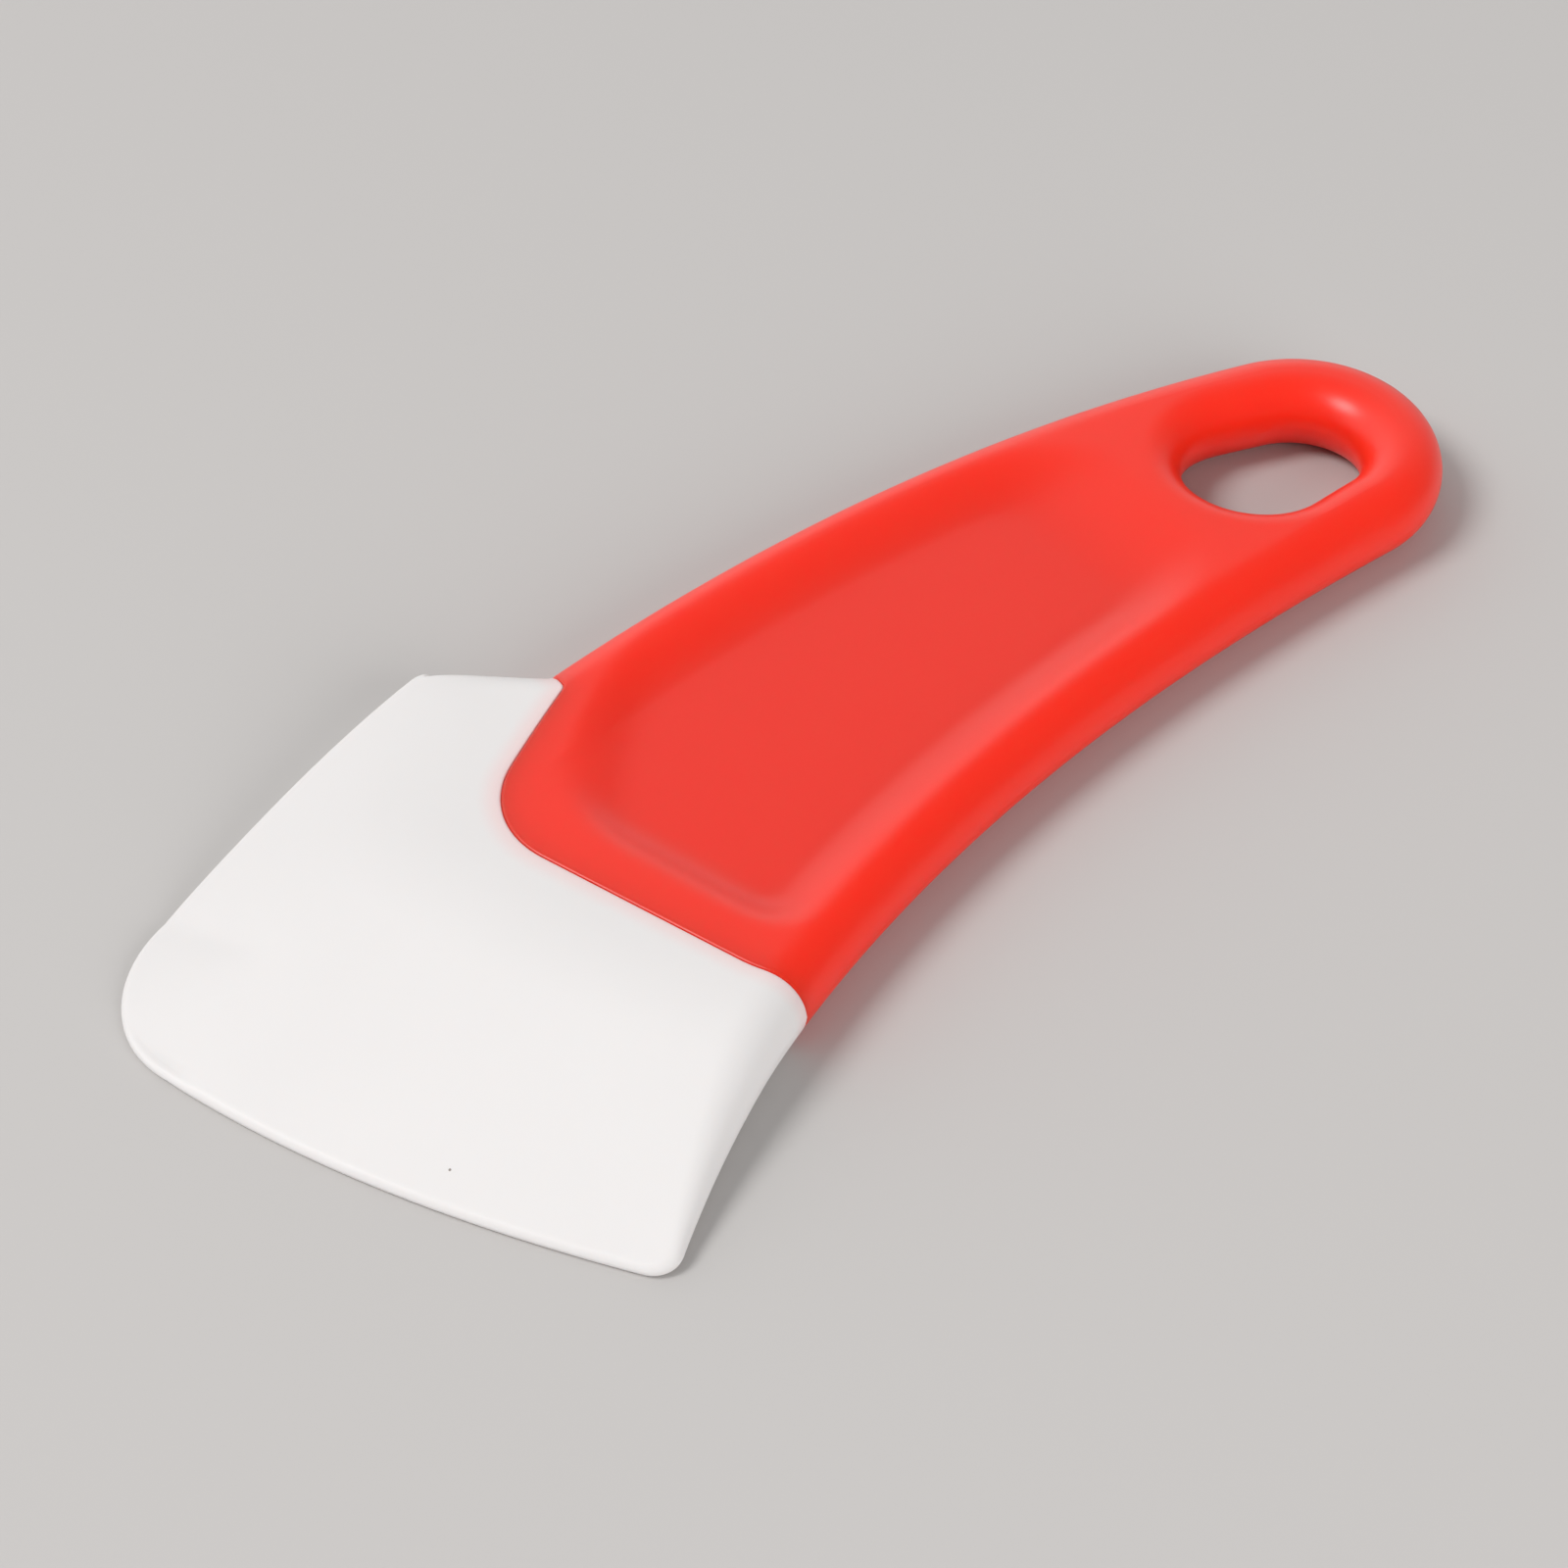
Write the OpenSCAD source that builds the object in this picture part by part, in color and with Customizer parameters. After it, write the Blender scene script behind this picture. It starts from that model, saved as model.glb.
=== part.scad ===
// Pan scraper: a flat handle, curved sideways, with a soft wedge blade moulded round its tongue
// and a stiff core plate inside. Millimetres, +Z up, lying flat on z = 0, blade towards +X,
// origin under the middle of the outline.
// Sizes are measured in a straight plan: s along the handle's axis from the middle of its curve,
// t across it. on_curve() lays that plan on the curved axis.

/* [Handle] */
// Thickness of the handle, which is also the diameter of its rounded rim
handle_t = 10.4; // [9.6:0.1:11.4]
// Radius of the sideways curve of the handle's axis
bend_r = 262; // [220:2:400]
// Distance from the middle of the curve back to the centre of the ring end
ring_back = 82.3; // [78:0.1:88]
// Outer radius of the ring end
ring_r = 18.2; // [17:0.1:20]
// Angle at which the handle's sides leave the ring end
ring_flare = 8; // [6:0.5:9]
// Distance from the middle of the curve forward to the tongue's front line
front_s = 36.8; // [34:0.1:40]
// Width of the handle at the tongue's front line, as if the far corner were there
front_w = 57.6; // [55:0.1:61]
// Angle at which the handle's sides pass the tongue's front line
front_flare = 5; // [3:0.5:6]

/* [Hang hole] */
// Length of the hang hole at its throat
hole_l = 24; // [21:0.1:27]
// Width of the hang hole at its throat, near its front end
hole_w = 18.2; // [16.4:0.1:19]
// Distance of the hang hole's middle line from the handle's axis, towards the near side
hole_t = 0.5; // [0:0.1:0.8]
// How far the hang hole's rear end lies in front of the ring end's centre
hole_gain = 0.6; // [0:0.1:1]

/* [Thumb tray] */
// Depth of the tray on each face of the handle
tray_depth = 2.2; // [1.6:0.1:3.6]
// Distance from the handle's side to the line where the tray's side walls begin
tray_in = 3.4; // [3:0.1:5.2]
// Width of the tray's sloping wall on its far side
tray_wall = 9.5; // [8:0.5:11]
// Width of the tray's sloping wall on its near side
tray_near_wall = 7.8; // [7:0.1:9]
// Length of the tray's sloping front wall
tray_front_wall = 6.8; // [5:0.1:12]
// Length of the tray's sloping wall by the hang hole
tray_rear_wall = 16; // [10:0.5:18]
// Flat land between the tray and the tongue's front line
tray_land = 5; // [3.5:0.1:6]
// Flat land between the tray and the rim of the hang hole
tray_gap = 0.6; // [0:0.1:3]
// How far the tray's slanting far corner is drawn in from a square corner
tray_cut = 13.2; // [8:0.1:15]
// Angle of the tray's slanting far corner to the handle's axis
tray_cut_angle = 35; // [28:1:40]

/* [Tongue] */
// Length of the tongue past the shoulder, along its far side
tongue_l = 23.7; // [21:0.1:25]
// Depth of the nearly square cut across the far rim
cut_depth = 4.6; // [4:0.1:5.2]
// How far that cut leans forward
cut_lean = 2; // [1:0.1:3]
// Radius of the inner corner where the cut meets the tongue's slanting side
cut_corner_r = 1.2; // [0.8:0.1:1.6]
// Angle of the tongue's slanting far side to the handle's axis
tongue_slant = 17; // [14:0.5:20]
// Radius of the tongue's far front corner
tongue_corner_r = 12.6; // [10:0.1:14]
// How far the tongue's front line is drawn back where it crosses the near rim
seam_lean = 1.1; // [0:0.1:2]
// Width of the stretch over which it is drawn back
seam_lean_w = 8; // [7:0.5:13]

/* [Blade] */
// Reach of the blade past the tongue's front line
blade_l = 41.1; // [38:0.1:46]
// How far the blade's shoulder stands out past the handle's far side
shoulder_w = 11.6; // [9:0.1:14]
// Angle of the shoulder to the handle's axis
shoulder_angle = 52; // [48:1:58]
// Radius of the corner between the shoulder and the far side
shoulder_corner_r = 2.6; // [1.4:0.1:3]
// Angle at which the far side flares out
far_flare = 5; // [2:0.1:6]
// Radius of the large far front corner
far_corner_r = 15; // [10:0.5:17]
// Radius of the bowed front edge
front_edge_r = 176; // [150:2:300]
// Distance of the front edge's foremost point from the axis, towards the near side
front_apex_t = 1; // [-2:0.5:6]
// Radius of the small near front corner
near_corner_r = 3.6; // [3:0.1:6]
// Angle at which the near side flares out at the front corner
near_flare = 8.4; // [7:0.1:11]
// Length of the near side over which its flare grows
near_flare_l = 34; // [28:0.5:36]
// Thickness of the blade at its front edge
lip_t = 1.4; // [1.2:0.1:2]
// Width of the front bevel
front_bevel = 31.5; // [27:0.5:34]
// Width of the far bevel at the shoulder
far_bevel = 15; // [11:0.5:18]
// Height of the far edge at the shoulder
far_edge_h = 9.1; // [7:0.1:9.8]
// Rounding of the blade's far edge
edge_r = 1.2; // [0.8:0.1:1.6]

/* [Core plate] */
// Thickness of the core plate
core_t = 2.4; // [1.8:0.1:2.6]
// Height of the core plate's underside over the table
core_z = 3.3; // [3.2:0.1:3.6]
// How far the plate's tang reaches back into the tongue
tang_l = 12.5; // [9:0.5:13]
// How far the plate reaches forward into the blade
paddle_l = 17.5; // [14:0.5:18]
// Lateral position of the tang's far side
tang_far_t = -4; // [-5:0.5:0]
// Lateral position of the plate's near side
core_near_t = 22; // [18:0.5:23]
// Lateral position of the paddle's far side
paddle_far_t = -24; // [-26:0.5:-18]
// Distance from the tongue's front line to the wide part of the plate
paddle_step = 3.5; // [3:0.5:5]
// Radius of the plate's corners
core_corner_r = 1.5; // [1:0.1:2]
// Diameter of the keying holes in the plate
key_hole_d = 4.5; // [3.5:0.1:5]
// Distance between the keying holes
key_pitch = 11; // [9:0.5:12]
// Distance from the plate's near side to the first keying hole
key_inset = 6; // [5:0.5:7]
// Clearance between the plate and what is moulded round it
core_gap = 0.05; // [0.02:0.01:0.15]

/* [Hidden] */
$fn = 48;
handle_colour = "#ee3d30";
blade_colour = "#f1efed";
core_colour = "#d8d2c0";

// Height of the flat band that the mould's parting line leaves round each piece
parting_band = 0.4;
// Height over which two faces of the blade blend at a crease
crease_blend = 1.5;
// Bow of the front bevel, per millimetre
bevel_bow = 0.0005;
// Power of the curve by which the far edge gets lower towards the front
far_edge_power = 1.3;
// Power of the curve by which the far bevel grows to the front bevel's width
far_bevel_power = 4;
// Height over the lip at which the far edge's rounding is full
edge_grow = 4;
// Power by which the blade's flush match with the tongue fades out
match_power = 4;
// Length of the shoulder over which the handle's round rim fades to a narrow edge
rim_fade = 13;
// How far inside the tray's crest lines its corners begin to turn, in wall widths
corner_reach = 1.3;
// Power that sets how sharply the tray's walls meet at its corners
corner_power = 2.5;
// Steps round a quarter of the rim, and across a wall or the floor of the tray
rim_steps = 5;
wall_steps = 5;
// Steps along the middle of a ray from the hang hole
ray_steps = 4;
// Most of a ray's length that the rounding at either of its ends takes up
turn_share = 0.46;
// Least width of a strip of places across the tongue's slanting side
strip_w = 2;
// Share of a blade row, from the shoulder, that doesn't bow with the near side
bow_from = 1 / 3;
// How far the keying holes' cutters reach past the plate
key_over = 1;
// Rows of points from the hang hole to the shoulder, along the ring end's sides and round its end
grip_rows = 24;
side_steps = 7;
end_steps = 20;
// Rows of points across the blade and across its rounded edge, and points along its corners
blade_rows = 14;
edge_rows = 4;
corner_steps = 8;
small_steps = 4;

rim_r = handle_t / 2;
ring_s = -ring_back;
grip_s = ring_s - ring_r * sin(ring_flare);
shoulder_s = front_s - tongue_l;
hole_rear_s = ring_s + hole_gain;
hole_rear_r = ring_r - handle_t;
hole_front_r = hole_w / 2;
hole_front_s = hole_rear_s - hole_rear_r + hole_l - hole_front_r;
hole_taper = (hole_rear_r - hole_front_r) / (hole_front_s - hole_rear_s);
hole_square = sqrt(1 - hole_taper * hole_taper);
join_s = hole_front_s + hole_front_r + rim_r;
tray_rear_s = join_s + tray_gap;
tray_front_s = front_s - tray_land;

// Lists, lines and arcs
function spread(a, b, n) = [for (i = [0:n]) a + (b - a) * i / n];
function eased(a, b, n) = [for (i = [0:n]) a + (b - a) * (1 - cos(90 * i / n))];
function tail(list) = [for (i = [1:len(list) - 1]) list[i]];
function reversed(list) = [for (i = [len(list) - 1:-1:0]) list[i]];
function heading(angle) = [cos(angle), sin(angle)];
function bearing(v) = atan2(v.y, v.x);
function arc(c, r, from, to, n) = [for (a = spread(from, to, n)) c + r * heading(a)];
function smooth(x) = let (c = max(0, min(1, x))) c * c * (3 - 2 * c);
function soft_min(a, b) =
    min(a, b) - pow(max(0, crease_blend - abs(a - b)), 2) / (4 * crease_blend);
// Where the line through p along d leaves the circle of radius r round c
function leave_circle(p, d, c, r) =
    let (q = p - c, b = q * d) p + d * (sqrt(b * b - q * q + r * r) - b);
// The corner b between a and c, rounded with radius r in n steps
function rounded(a, b, c, r, n) =
    let (
        u = (a - b) / norm(a - b),
        v = (c - b) / norm(c - b),
        half = acos(u * v) / 2,
        side = sign(cross(u, v)),
        m = b + (u + v) / norm(u + v) * r / sin(half),
        from = bearing(u) - side * 90
    )
    arc(m, r, from, from - side * (180 - 2 * half), n);
// How far an edge rounded with radius r has fallen at distance d inside it
function fall(d, r) = let (q = 1 - max(0, min(d, r)) / r) r * (1 - sqrt(1 - q * q));
// A place of the straight plan, laid on the curved axis
function on_curve(p) =
    let (a = p.x / bend_r * 180 / PI)
    [(bend_r - p.y) * sin(a), bend_r - (bend_r - p.y) * cos(a)];

// Half the handle's width along its axis, a cubic between the ring end and the front line
function half_w(s) =
    let (
        l = front_s - grip_s,
        x = (s - grip_s) / l,
        start = ring_r * cos(ring_flare),
        end = front_w / 2
    )
    start * (1 - 3 * x * x + 2 * x * x * x)
        + l * tan(ring_flare) * (x - 2 * x * x + x * x * x)
        + end * (3 * x * x - 2 * x * x * x)
        + l * tan(front_flare) * (x * x * x - x * x);
function crest_w(s) = half_w(s) - rim_r;
// Distance of a place from the handle's outer edge
function from_side(p) =
    p.x < grip_s
        ? ring_r - norm([p.x - ring_s, p.y])
        : (half_w(p.x) - abs(p.y)) * cos(ring_flare);
// Distance of a place from the hang hole's throat, which is two unequal circles and their tangents
function from_hole(p) =
    let (
        l = hole_front_s - hole_rear_s,
        q = [p.x - hole_rear_s, abs(p.y - hole_t)],
        along = q * [hole_square, -hole_taper]
    )
    along < 0 ? norm(q) - hole_rear_r
        : along > hole_square * l ? norm(q - [l, 0]) - hole_front_r
        : q * [hole_taper, hole_square] - hole_rear_r;
function power_norm(list) = pow(list * [for (x = list) pow(x, corner_power - 1)], 1 / corner_power);
// Share of the tray's depth at a place: nought outside its crest, one on its floor
function tray_share(p) =
    let (
        corner = [tray_front_s, tray_in - half_w(tray_front_s)],
        inward = -heading(tray_cut_angle - 90),
        shares = [
            (half_w(p.x) - tray_in - abs(p.y)) / (p.y > 0 ? tray_near_wall : tray_wall),
            (p.x - tray_rear_s) / tray_rear_wall,
            (tray_front_s - p.x) / tray_front_wall,
            ((p - corner) * inward - tray_cut) / tray_front_wall
        ]
    )
    smooth(corner_reach - power_norm([for (x = shares) max(0, corner_reach - x)]));
// Half the handle's thickness at a place
function handle_half(p) =
    let (
        rim = max(fall(from_side(p), rim_r), fall(from_hole(p), rim_r)),
        tray = tray_depth * tray_share(p)
    )
    max(parting_band / 2, rim_r - rim - tray);

// Tongue's edge, from the handle's far side round to its near side
cut_start = [shoulder_s, -half_w(shoulder_s)];
cut_end = cut_start + [cut_lean, cut_depth];
tongue_c =
    let (s = front_s - tongue_corner_r)
    [s, cut_end.y + tan(tongue_slant) * (s - cut_end.x) + tongue_corner_r / cos(tongue_slant)];
slant_end = tongue_c + tongue_corner_r * heading(tongue_slant - 90);
cut_corner = rounded(cut_start, cut_end, slant_end, cut_corner_r, small_steps);
tongue_side = concat(
    [for (x = eased(0, 1, rim_steps)) cut_start + (cut_corner[0] - cut_start) * x],
    tail(cut_corner),
    tail(spread(cut_corner[small_steps], slant_end, small_steps)),
    tail(arc(tongue_c, tongue_corner_r, tongue_slant - 90, 0, corner_steps))
);
// A place near the tongue's front line, drawn back where that line crosses the near rim
function leant(p) =
    let (
        ahead = smooth((p.x - shoulder_s) / tongue_l),
        beside = smooth(1 - (half_w(p.x) - p.y) / seam_lean_w),
        back = p.x - seam_lean * ahead * beside
    )
    [back, p.y + (half_w(back) - half_w(p.x)) * beside];
// One row of places across the handle, from its far end to its near edge
function across(s, far_t) =
    let (
        crest = crest_w(s),
        floor_w = half_w(s) - tray_in - tray_wall,
        rim_in = max(-crest, far_t + strip_w),
        wall_in = max(-floor_w, rim_in + strip_w),
        places = concat(
            eased(far_t, rim_in, rim_steps),
            tail(spread(rim_in, wall_in, wall_steps)),
            tail(spread(wall_in, floor_w, wall_steps)),
            tail(spread(floor_w, crest, wall_steps)),
            tail(reversed(eased(half_w(s), crest, rim_steps)))
        )
    )
    [for (t = places) leant([s, t])];
front_row = across(front_s, tongue_c.y);
tongue_edge = concat(tongue_side, tail(front_row));

// Places of the handle from the join with the ring end to the tongue, row by row
row_starts = concat(
    [for (i = [0:grip_rows - 1])
        let (s = join_s + (shoulder_s - join_s) * i / grip_rows) [s, -half_w(s)]],
    tongue_side
);
row_n = len(row_starts);
col_n = len(front_row);
grip_places = [for (p = row_starts) each across(p.x, p.y)];

// Places of the ring end: rays from the hang hole's throat to the join and to the outline
function throat_beside(s) =
    s > hole_front_s + hole_front_r * hole_taper
        ? sqrt(hole_front_r * hole_front_r - pow(s - hole_front_s, 2))
        : (hole_rear_r - (s - hole_rear_s) * hole_taper) / hole_square;
function throat_round(p, c, r) = c + r * heading(bearing(p - c));
function throat_for(p) =
    p.x > hole_front_s ? throat_round(p, [hole_front_s, hole_t], hole_front_r)
        : p.x < hole_rear_s ? throat_round(p, [hole_rear_s, hole_t], hole_rear_r)
        : [p.x, hole_t + sign(p.y) * throat_beside(p.x)];
near_ring_side = [for (s = spread(join_s, grip_s, side_steps)) [s, half_w(s)]];
ring_outline = concat(
    tail(near_ring_side),
    tail(arc([ring_s, 0], ring_r, 90 + ring_flare, 270 - ring_flare, end_steps)),
    [for (i = [side_steps - 1:-1:1]) [near_ring_side[i].x, -near_ring_side[i].y]]
);
ray_ends = concat([for (i = [0:col_n - 1]) grip_places[i]], ring_outline);
ray_n = len(ray_ends);
last_k = 2 * rim_steps + ray_steps;
function ray_place(p, k) =
    let (
        start = throat_for(p),
        l = norm(p - start),
        nearest = min(k, last_k - k, rim_steps),
        edge = min(rim_r, l * turn_share) * (1 - cos(90 * nearest / rim_steps)),
        share = max(0, min(1, (k - rim_steps) / ray_steps))
    )
    start + (p - start) / l * (edge + (l - 2 * edge) * share);
ring_places = [for (k = [0:last_k - 1]) each [for (p = ray_ends) ray_place(p, k)]];
handle_places = concat(grip_places, ring_places, ring_outline);
function grip_i(row, col) = row * col_n + col;
function ring_i(k, i) =
    let (j = i % ray_n)
    k < last_k ? row_n * col_n + k * ray_n + j
        : j < col_n ? j
        : row_n * col_n + len(ring_places) + j - col_n;
handle_cells = concat(
    [for (r = [0:row_n - 2], c = [0:col_n - 2])
        [grip_i(r, c), grip_i(r, c + 1), grip_i(r + 1, c + 1), grip_i(r + 1, c)]],
    [for (k = [0:last_k - 1], i = [0:ray_n - 1])
        [ring_i(k, i), ring_i(k, i + 1), ring_i(k + 1, i + 1), ring_i(k + 1, i)]]
);
handle_loop = concat(
    [for (r = [0:row_n - 1]) grip_i(r, 0)],
    [for (c = [1:col_n - 1]) grip_i(row_n - 1, c)],
    [for (r = [row_n - 2:-1:0]) grip_i(r, col_n - 1)],
    [for (i = [col_n:ray_n - 1]) ring_i(last_k, i)]
);
hole_loop = [for (i = [ray_n - 1:-1:0]) ring_i(0, i)];

// Blade outline, from the shoulder round to the near front corner
shoulder_way = heading(-shoulder_angle);
shoulder_l = shoulder_w / sin(shoulder_angle);
shoulder_tip = cut_start + shoulder_way * shoulder_l;
far_way = heading(-far_flare);
far_in = heading(90 - far_flare);
near_way = heading(near_flare);
near_in = heading(near_flare - 90);
front_c = [front_s + blade_l - front_edge_r, front_apex_t];
far_c = leave_circle(
    shoulder_tip + far_corner_r * far_in, far_way, front_c, front_edge_r - far_corner_r
);
// Lateral position of the blade's near side
function near_t(s) =
    let (
        x = s - front_s,
        grown = min(x, near_flare_l),
        gain = tan(near_flare) - tan(front_flare)
    )
    half_w(front_s) + tan(front_flare) * x
        + gain * (grown * grown / (2 * near_flare_l) + max(0, x - near_flare_l));
near_c = leave_circle(
    [front_s + near_flare_l, near_t(front_s + near_flare_l)] + near_corner_r * near_in,
    near_way, front_c, front_edge_r - near_corner_r
);
far_turn = bearing(far_c - front_c);
near_turn = bearing(near_c - front_c);
far_corner_start = far_c - far_corner_r * far_in;
shoulder_corner = rounded(
    cut_start, shoulder_tip, far_corner_start, shoulder_corner_r, small_steps
);
front_steps = len(tongue_edge) - 1 - small_steps - 2 * corner_steps - rim_steps;
shoulder_c =
    let (half = (180 - shoulder_angle + far_flare) / 2)
    shoulder_tip + shoulder_corner_r / sin(half) * heading(half - far_flare);
blade_outline = concat(
    shoulder_corner,
    tail(spread(shoulder_corner[small_steps], far_corner_start, corner_steps)),
    tail(arc(far_c, far_corner_r, -90 - far_flare, far_turn, corner_steps)),
    tail(arc(front_c, front_edge_r, far_turn, near_turn, front_steps)),
    tail(arc(near_c, near_corner_r, near_turn, 90 + near_flare, rim_steps))
);

// Distances of a place from the blade's edges
function from_far(p) =
    let (along = (p - far_c) * far_way, out = -(p - far_c) * far_in)
    far_corner_r - norm([max(0, along), max(0, out)]) - min(0, out);
function in_near_corner(p) = (p - near_c) * near_way > 0 && (p - near_c) * near_in < 0;
function from_front(p) =
    in_near_corner(p) ? near_corner_r - norm(p - near_c) : front_edge_r - norm(p - front_c);
function from_near(p) =
    in_near_corner(p) ? near_corner_r - norm(p - near_c) : near_t(p.x) - p.y;
// Height of the blade's top before its edges are rounded
function blade_h(p) =
    let (
        x = front_edge_r - norm(p - front_c),
        bow = bevel_bow * x * (front_bevel - x),
        front = lip_t + (handle_t - lip_t) * x / front_bevel + bow,
        along = (p - shoulder_tip) * far_way / ((far_c - shoulder_tip) * far_way),
        y = max(0, min(1, along)),
        far_h = lip_t + (far_edge_h - lip_t) * (1 - pow(y, far_edge_power)),
        far_w = far_bevel + (front_bevel - far_bevel) * pow(y, far_bevel_power),
        far = far_h + (handle_t - far_h) * from_far(p) / far_w
    )
    max(lip_t, soft_min(handle_t, soft_min(front, far)));
// How far the blade's top and underside have fallen at a place near an edge
function blade_fall(p) =
    let (
        h = blade_h(p),
        thin_r = min(edge_r, lip_t / 2),
        along = (p - cut_start) * shoulder_way,
        shoulder_r = rim_r + (edge_r - rim_r) * max(0, min(1, along / rim_fade)),
        q = p - shoulder_c,
        turned = q * shoulder_way > 0 && q * far_way < 0,
        turn_gap = shoulder_corner_r - norm(q),
        shoulder_gap = (p - cut_start) * heading(90 - shoulder_angle),
        near_r = min(rim_r, h / 2),
        far_r = thin_r + (edge_r - thin_r) * smooth((h - lip_t) / edge_grow)
    )
    min((h - parting_band) / 2, max(
        fall(turned ? turn_gap : shoulder_gap, shoulder_r),
        fall(turned ? turn_gap : from_far(p), far_r),
        fall(from_front(p), thin_r),
        fall(from_near(p), near_r)
    ));

// Places of the blade: rows run from the tongue's edge out to the blade's outline
last_col = len(tongue_edge) - 1;
last_row = blade_rows + edge_rows;
function edge_in(i) =
    i == 0 ? -shoulder_way
        : i == last_col ? -near_way
        : let (
            way = blade_outline[i + 1] - blade_outline[i - 1],
            turn = smooth((i - last_col) / rim_steps + 1),
            inner = [-way.y, way.x] / norm(way) * (1 - turn) - near_way * turn
        )
        inner / norm(inner);
function straight_place(i, k) =
    let (
        start = tongue_edge[i],
        end = blade_outline[i],
        inward = edge_r * edge_in(i)
    )
    k <= blade_rows
        ? start + (end + inward - start) * k / blade_rows
        : end + inward * (1 - sin(90 * (k - blade_rows) / edge_rows));
// The rows bow with the near side, less and less away from it
function blade_place(i, k) =
    let (
        p = straight_place(i, k),
        side = straight_place(last_col, k),
        bow = k <= blade_rows ? near_t(side.x) - side.y : 0
    )
    p + [0, bow * smooth((i / last_col - bow_from) / (1 - bow_from))];
blade_places = [for (k = [0:last_row]) each [for (i = [0:last_col]) blade_place(i, k)]];
function blade_i(k, i) = k * (last_col + 1) + i;
blade_cells = [for (k = [0:last_row - 1], i = [0:last_col - 1])
    [blade_i(k, i), blade_i(k, i + 1), blade_i(k + 1, i + 1), blade_i(k + 1, i)]];
blade_loop = concat(
    [for (k = [0:last_row]) blade_i(k, 0)],
    [for (i = [1:last_col]) blade_i(last_row, i)],
    [for (k = [last_row - 1:-1:0]) blade_i(k, last_col)],
    [for (i = [last_col - 1:-1:1]) blade_i(0, i)]
);
// The blade starts flush with the tongue, and that match fades over its first rows
blade_faces = [for (k = [0:last_row], i = [0:last_col])
    let (
        p = blade_places[blade_i(k, i)],
        b = tongue_edge[i],
        match = pow(1 - min(1, k / blade_rows), match_power),
        tongue_drop = rim_r - handle_half(b),
        top = blade_h(p) - blade_fall(p),
        top_gain = handle_t - tongue_drop - (blade_h(b) - blade_fall(b)),
        under_gain = tongue_drop - blade_fall(b)
    )
    [max(0, blade_fall(p) + match * under_gain), min(handle_t, top + match * top_gain)]];

// The origin lies under the middle of the whole outline
outline_xy = [for (p = concat(ring_outline, grip_places, blade_outline)) on_curve(p)];
function middle(list) = (min(list) + max(list)) / 2;
origin = [middle([for (p = outline_xy) p.x]), middle([for (p = outline_xy) p.y])];
function placed(p) = on_curve(p) - origin;

// A solid between an underside and a top over the same places, walled along its loops
module slab(places, faces, cells, loops) {
    n = len(places);
    under = [for (i = [0:n - 1]) let (q = placed(places[i])) [q.x, q.y, faces[i][0]]];
    top = [for (i = [0:n - 1]) let (q = placed(places[i])) [q.x, q.y, faces[i][1]]];
    polyhedron(
        points = concat(under, top),
        faces = concat(
            [for (c = cells) each [[c[0], c[2], c[1]], [c[0], c[3], c[2]]]],
            [for (c = cells) each [[c[0], c[1], c[2]] + [n, n, n], [c[0], c[2], c[3]] + [n, n, n]]],
            [for (loop = loops, j = [0:len(loop) - 1])
                let (a = loop[j], b = loop[(j + 1) % len(loop)])
                each [[a + n, b + n, b], [a + n, b, a]]]
        )
    );
}

// Core plate outline, grown by a clearance
function core_corners(grow) =
    let (
        back = front_s - tang_l - grow,
        step = front_s + paddle_step - grow,
        front = front_s + paddle_l + grow,
        near = core_near_t + grow
    )
    [
        [back, near],
        [back, tang_far_t - grow],
        [step, tang_far_t - grow],
        [step, paddle_far_t - grow],
        [front, paddle_far_t - grow],
        [front, near]
    ];
function core_outline(grow) =
    let (c = core_corners(grow), n = len(c))
    [for (i = [0:n - 1])
        each rounded(c[(i + n - 1) % n], c[i], c[(i + 1) % n], core_corner_r, small_steps)];
key_t = core_near_t - key_inset;
key_places = concat(
    [for (t = [key_t:-key_pitch:paddle_far_t + key_hole_d])
        [front_s + (paddle_step + paddle_l) / 2, t]],
    [for (t = [key_t:-key_pitch:tang_far_t + key_hole_d]) [front_s - tang_l / 2, t]]
);
// The plate's outline as a solid, less a round post or hole at each keying place
module plate(grow, key_d) {
    difference() {
        translate([0, 0, core_z - grow])
            linear_extrude(core_t + 2 * grow)
                polygon([for (p = core_outline(grow)) placed(p)]);
        for (p = key_places) {
            translate([placed(p).x, placed(p).y, core_z - key_over])
                cylinder(d = key_d, h = core_t + 2 * key_over);
        }
    }
}
module core_space() {
    plate(core_gap, key_hole_d - 2 * core_gap);
}

module handle() {
    color(handle_colour)
        difference() {
            slab(
                handle_places,
                [for (p = handle_places) [rim_r - handle_half(p), rim_r + handle_half(p)]],
                handle_cells,
                [handle_loop, hole_loop]
            );
            core_space();
        }
}

module blade() {
    color(blade_colour)
        difference() {
            slab(blade_places, blade_faces, blade_cells, [blade_loop]);
            core_space();
        }
}

module core_plate() {
    color(core_colour)
        plate(0, key_hole_d);
}

handle();
blade();
core_plate();
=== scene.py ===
import logging
import math
from dataclasses import dataclass, field
from enum import Enum

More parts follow.
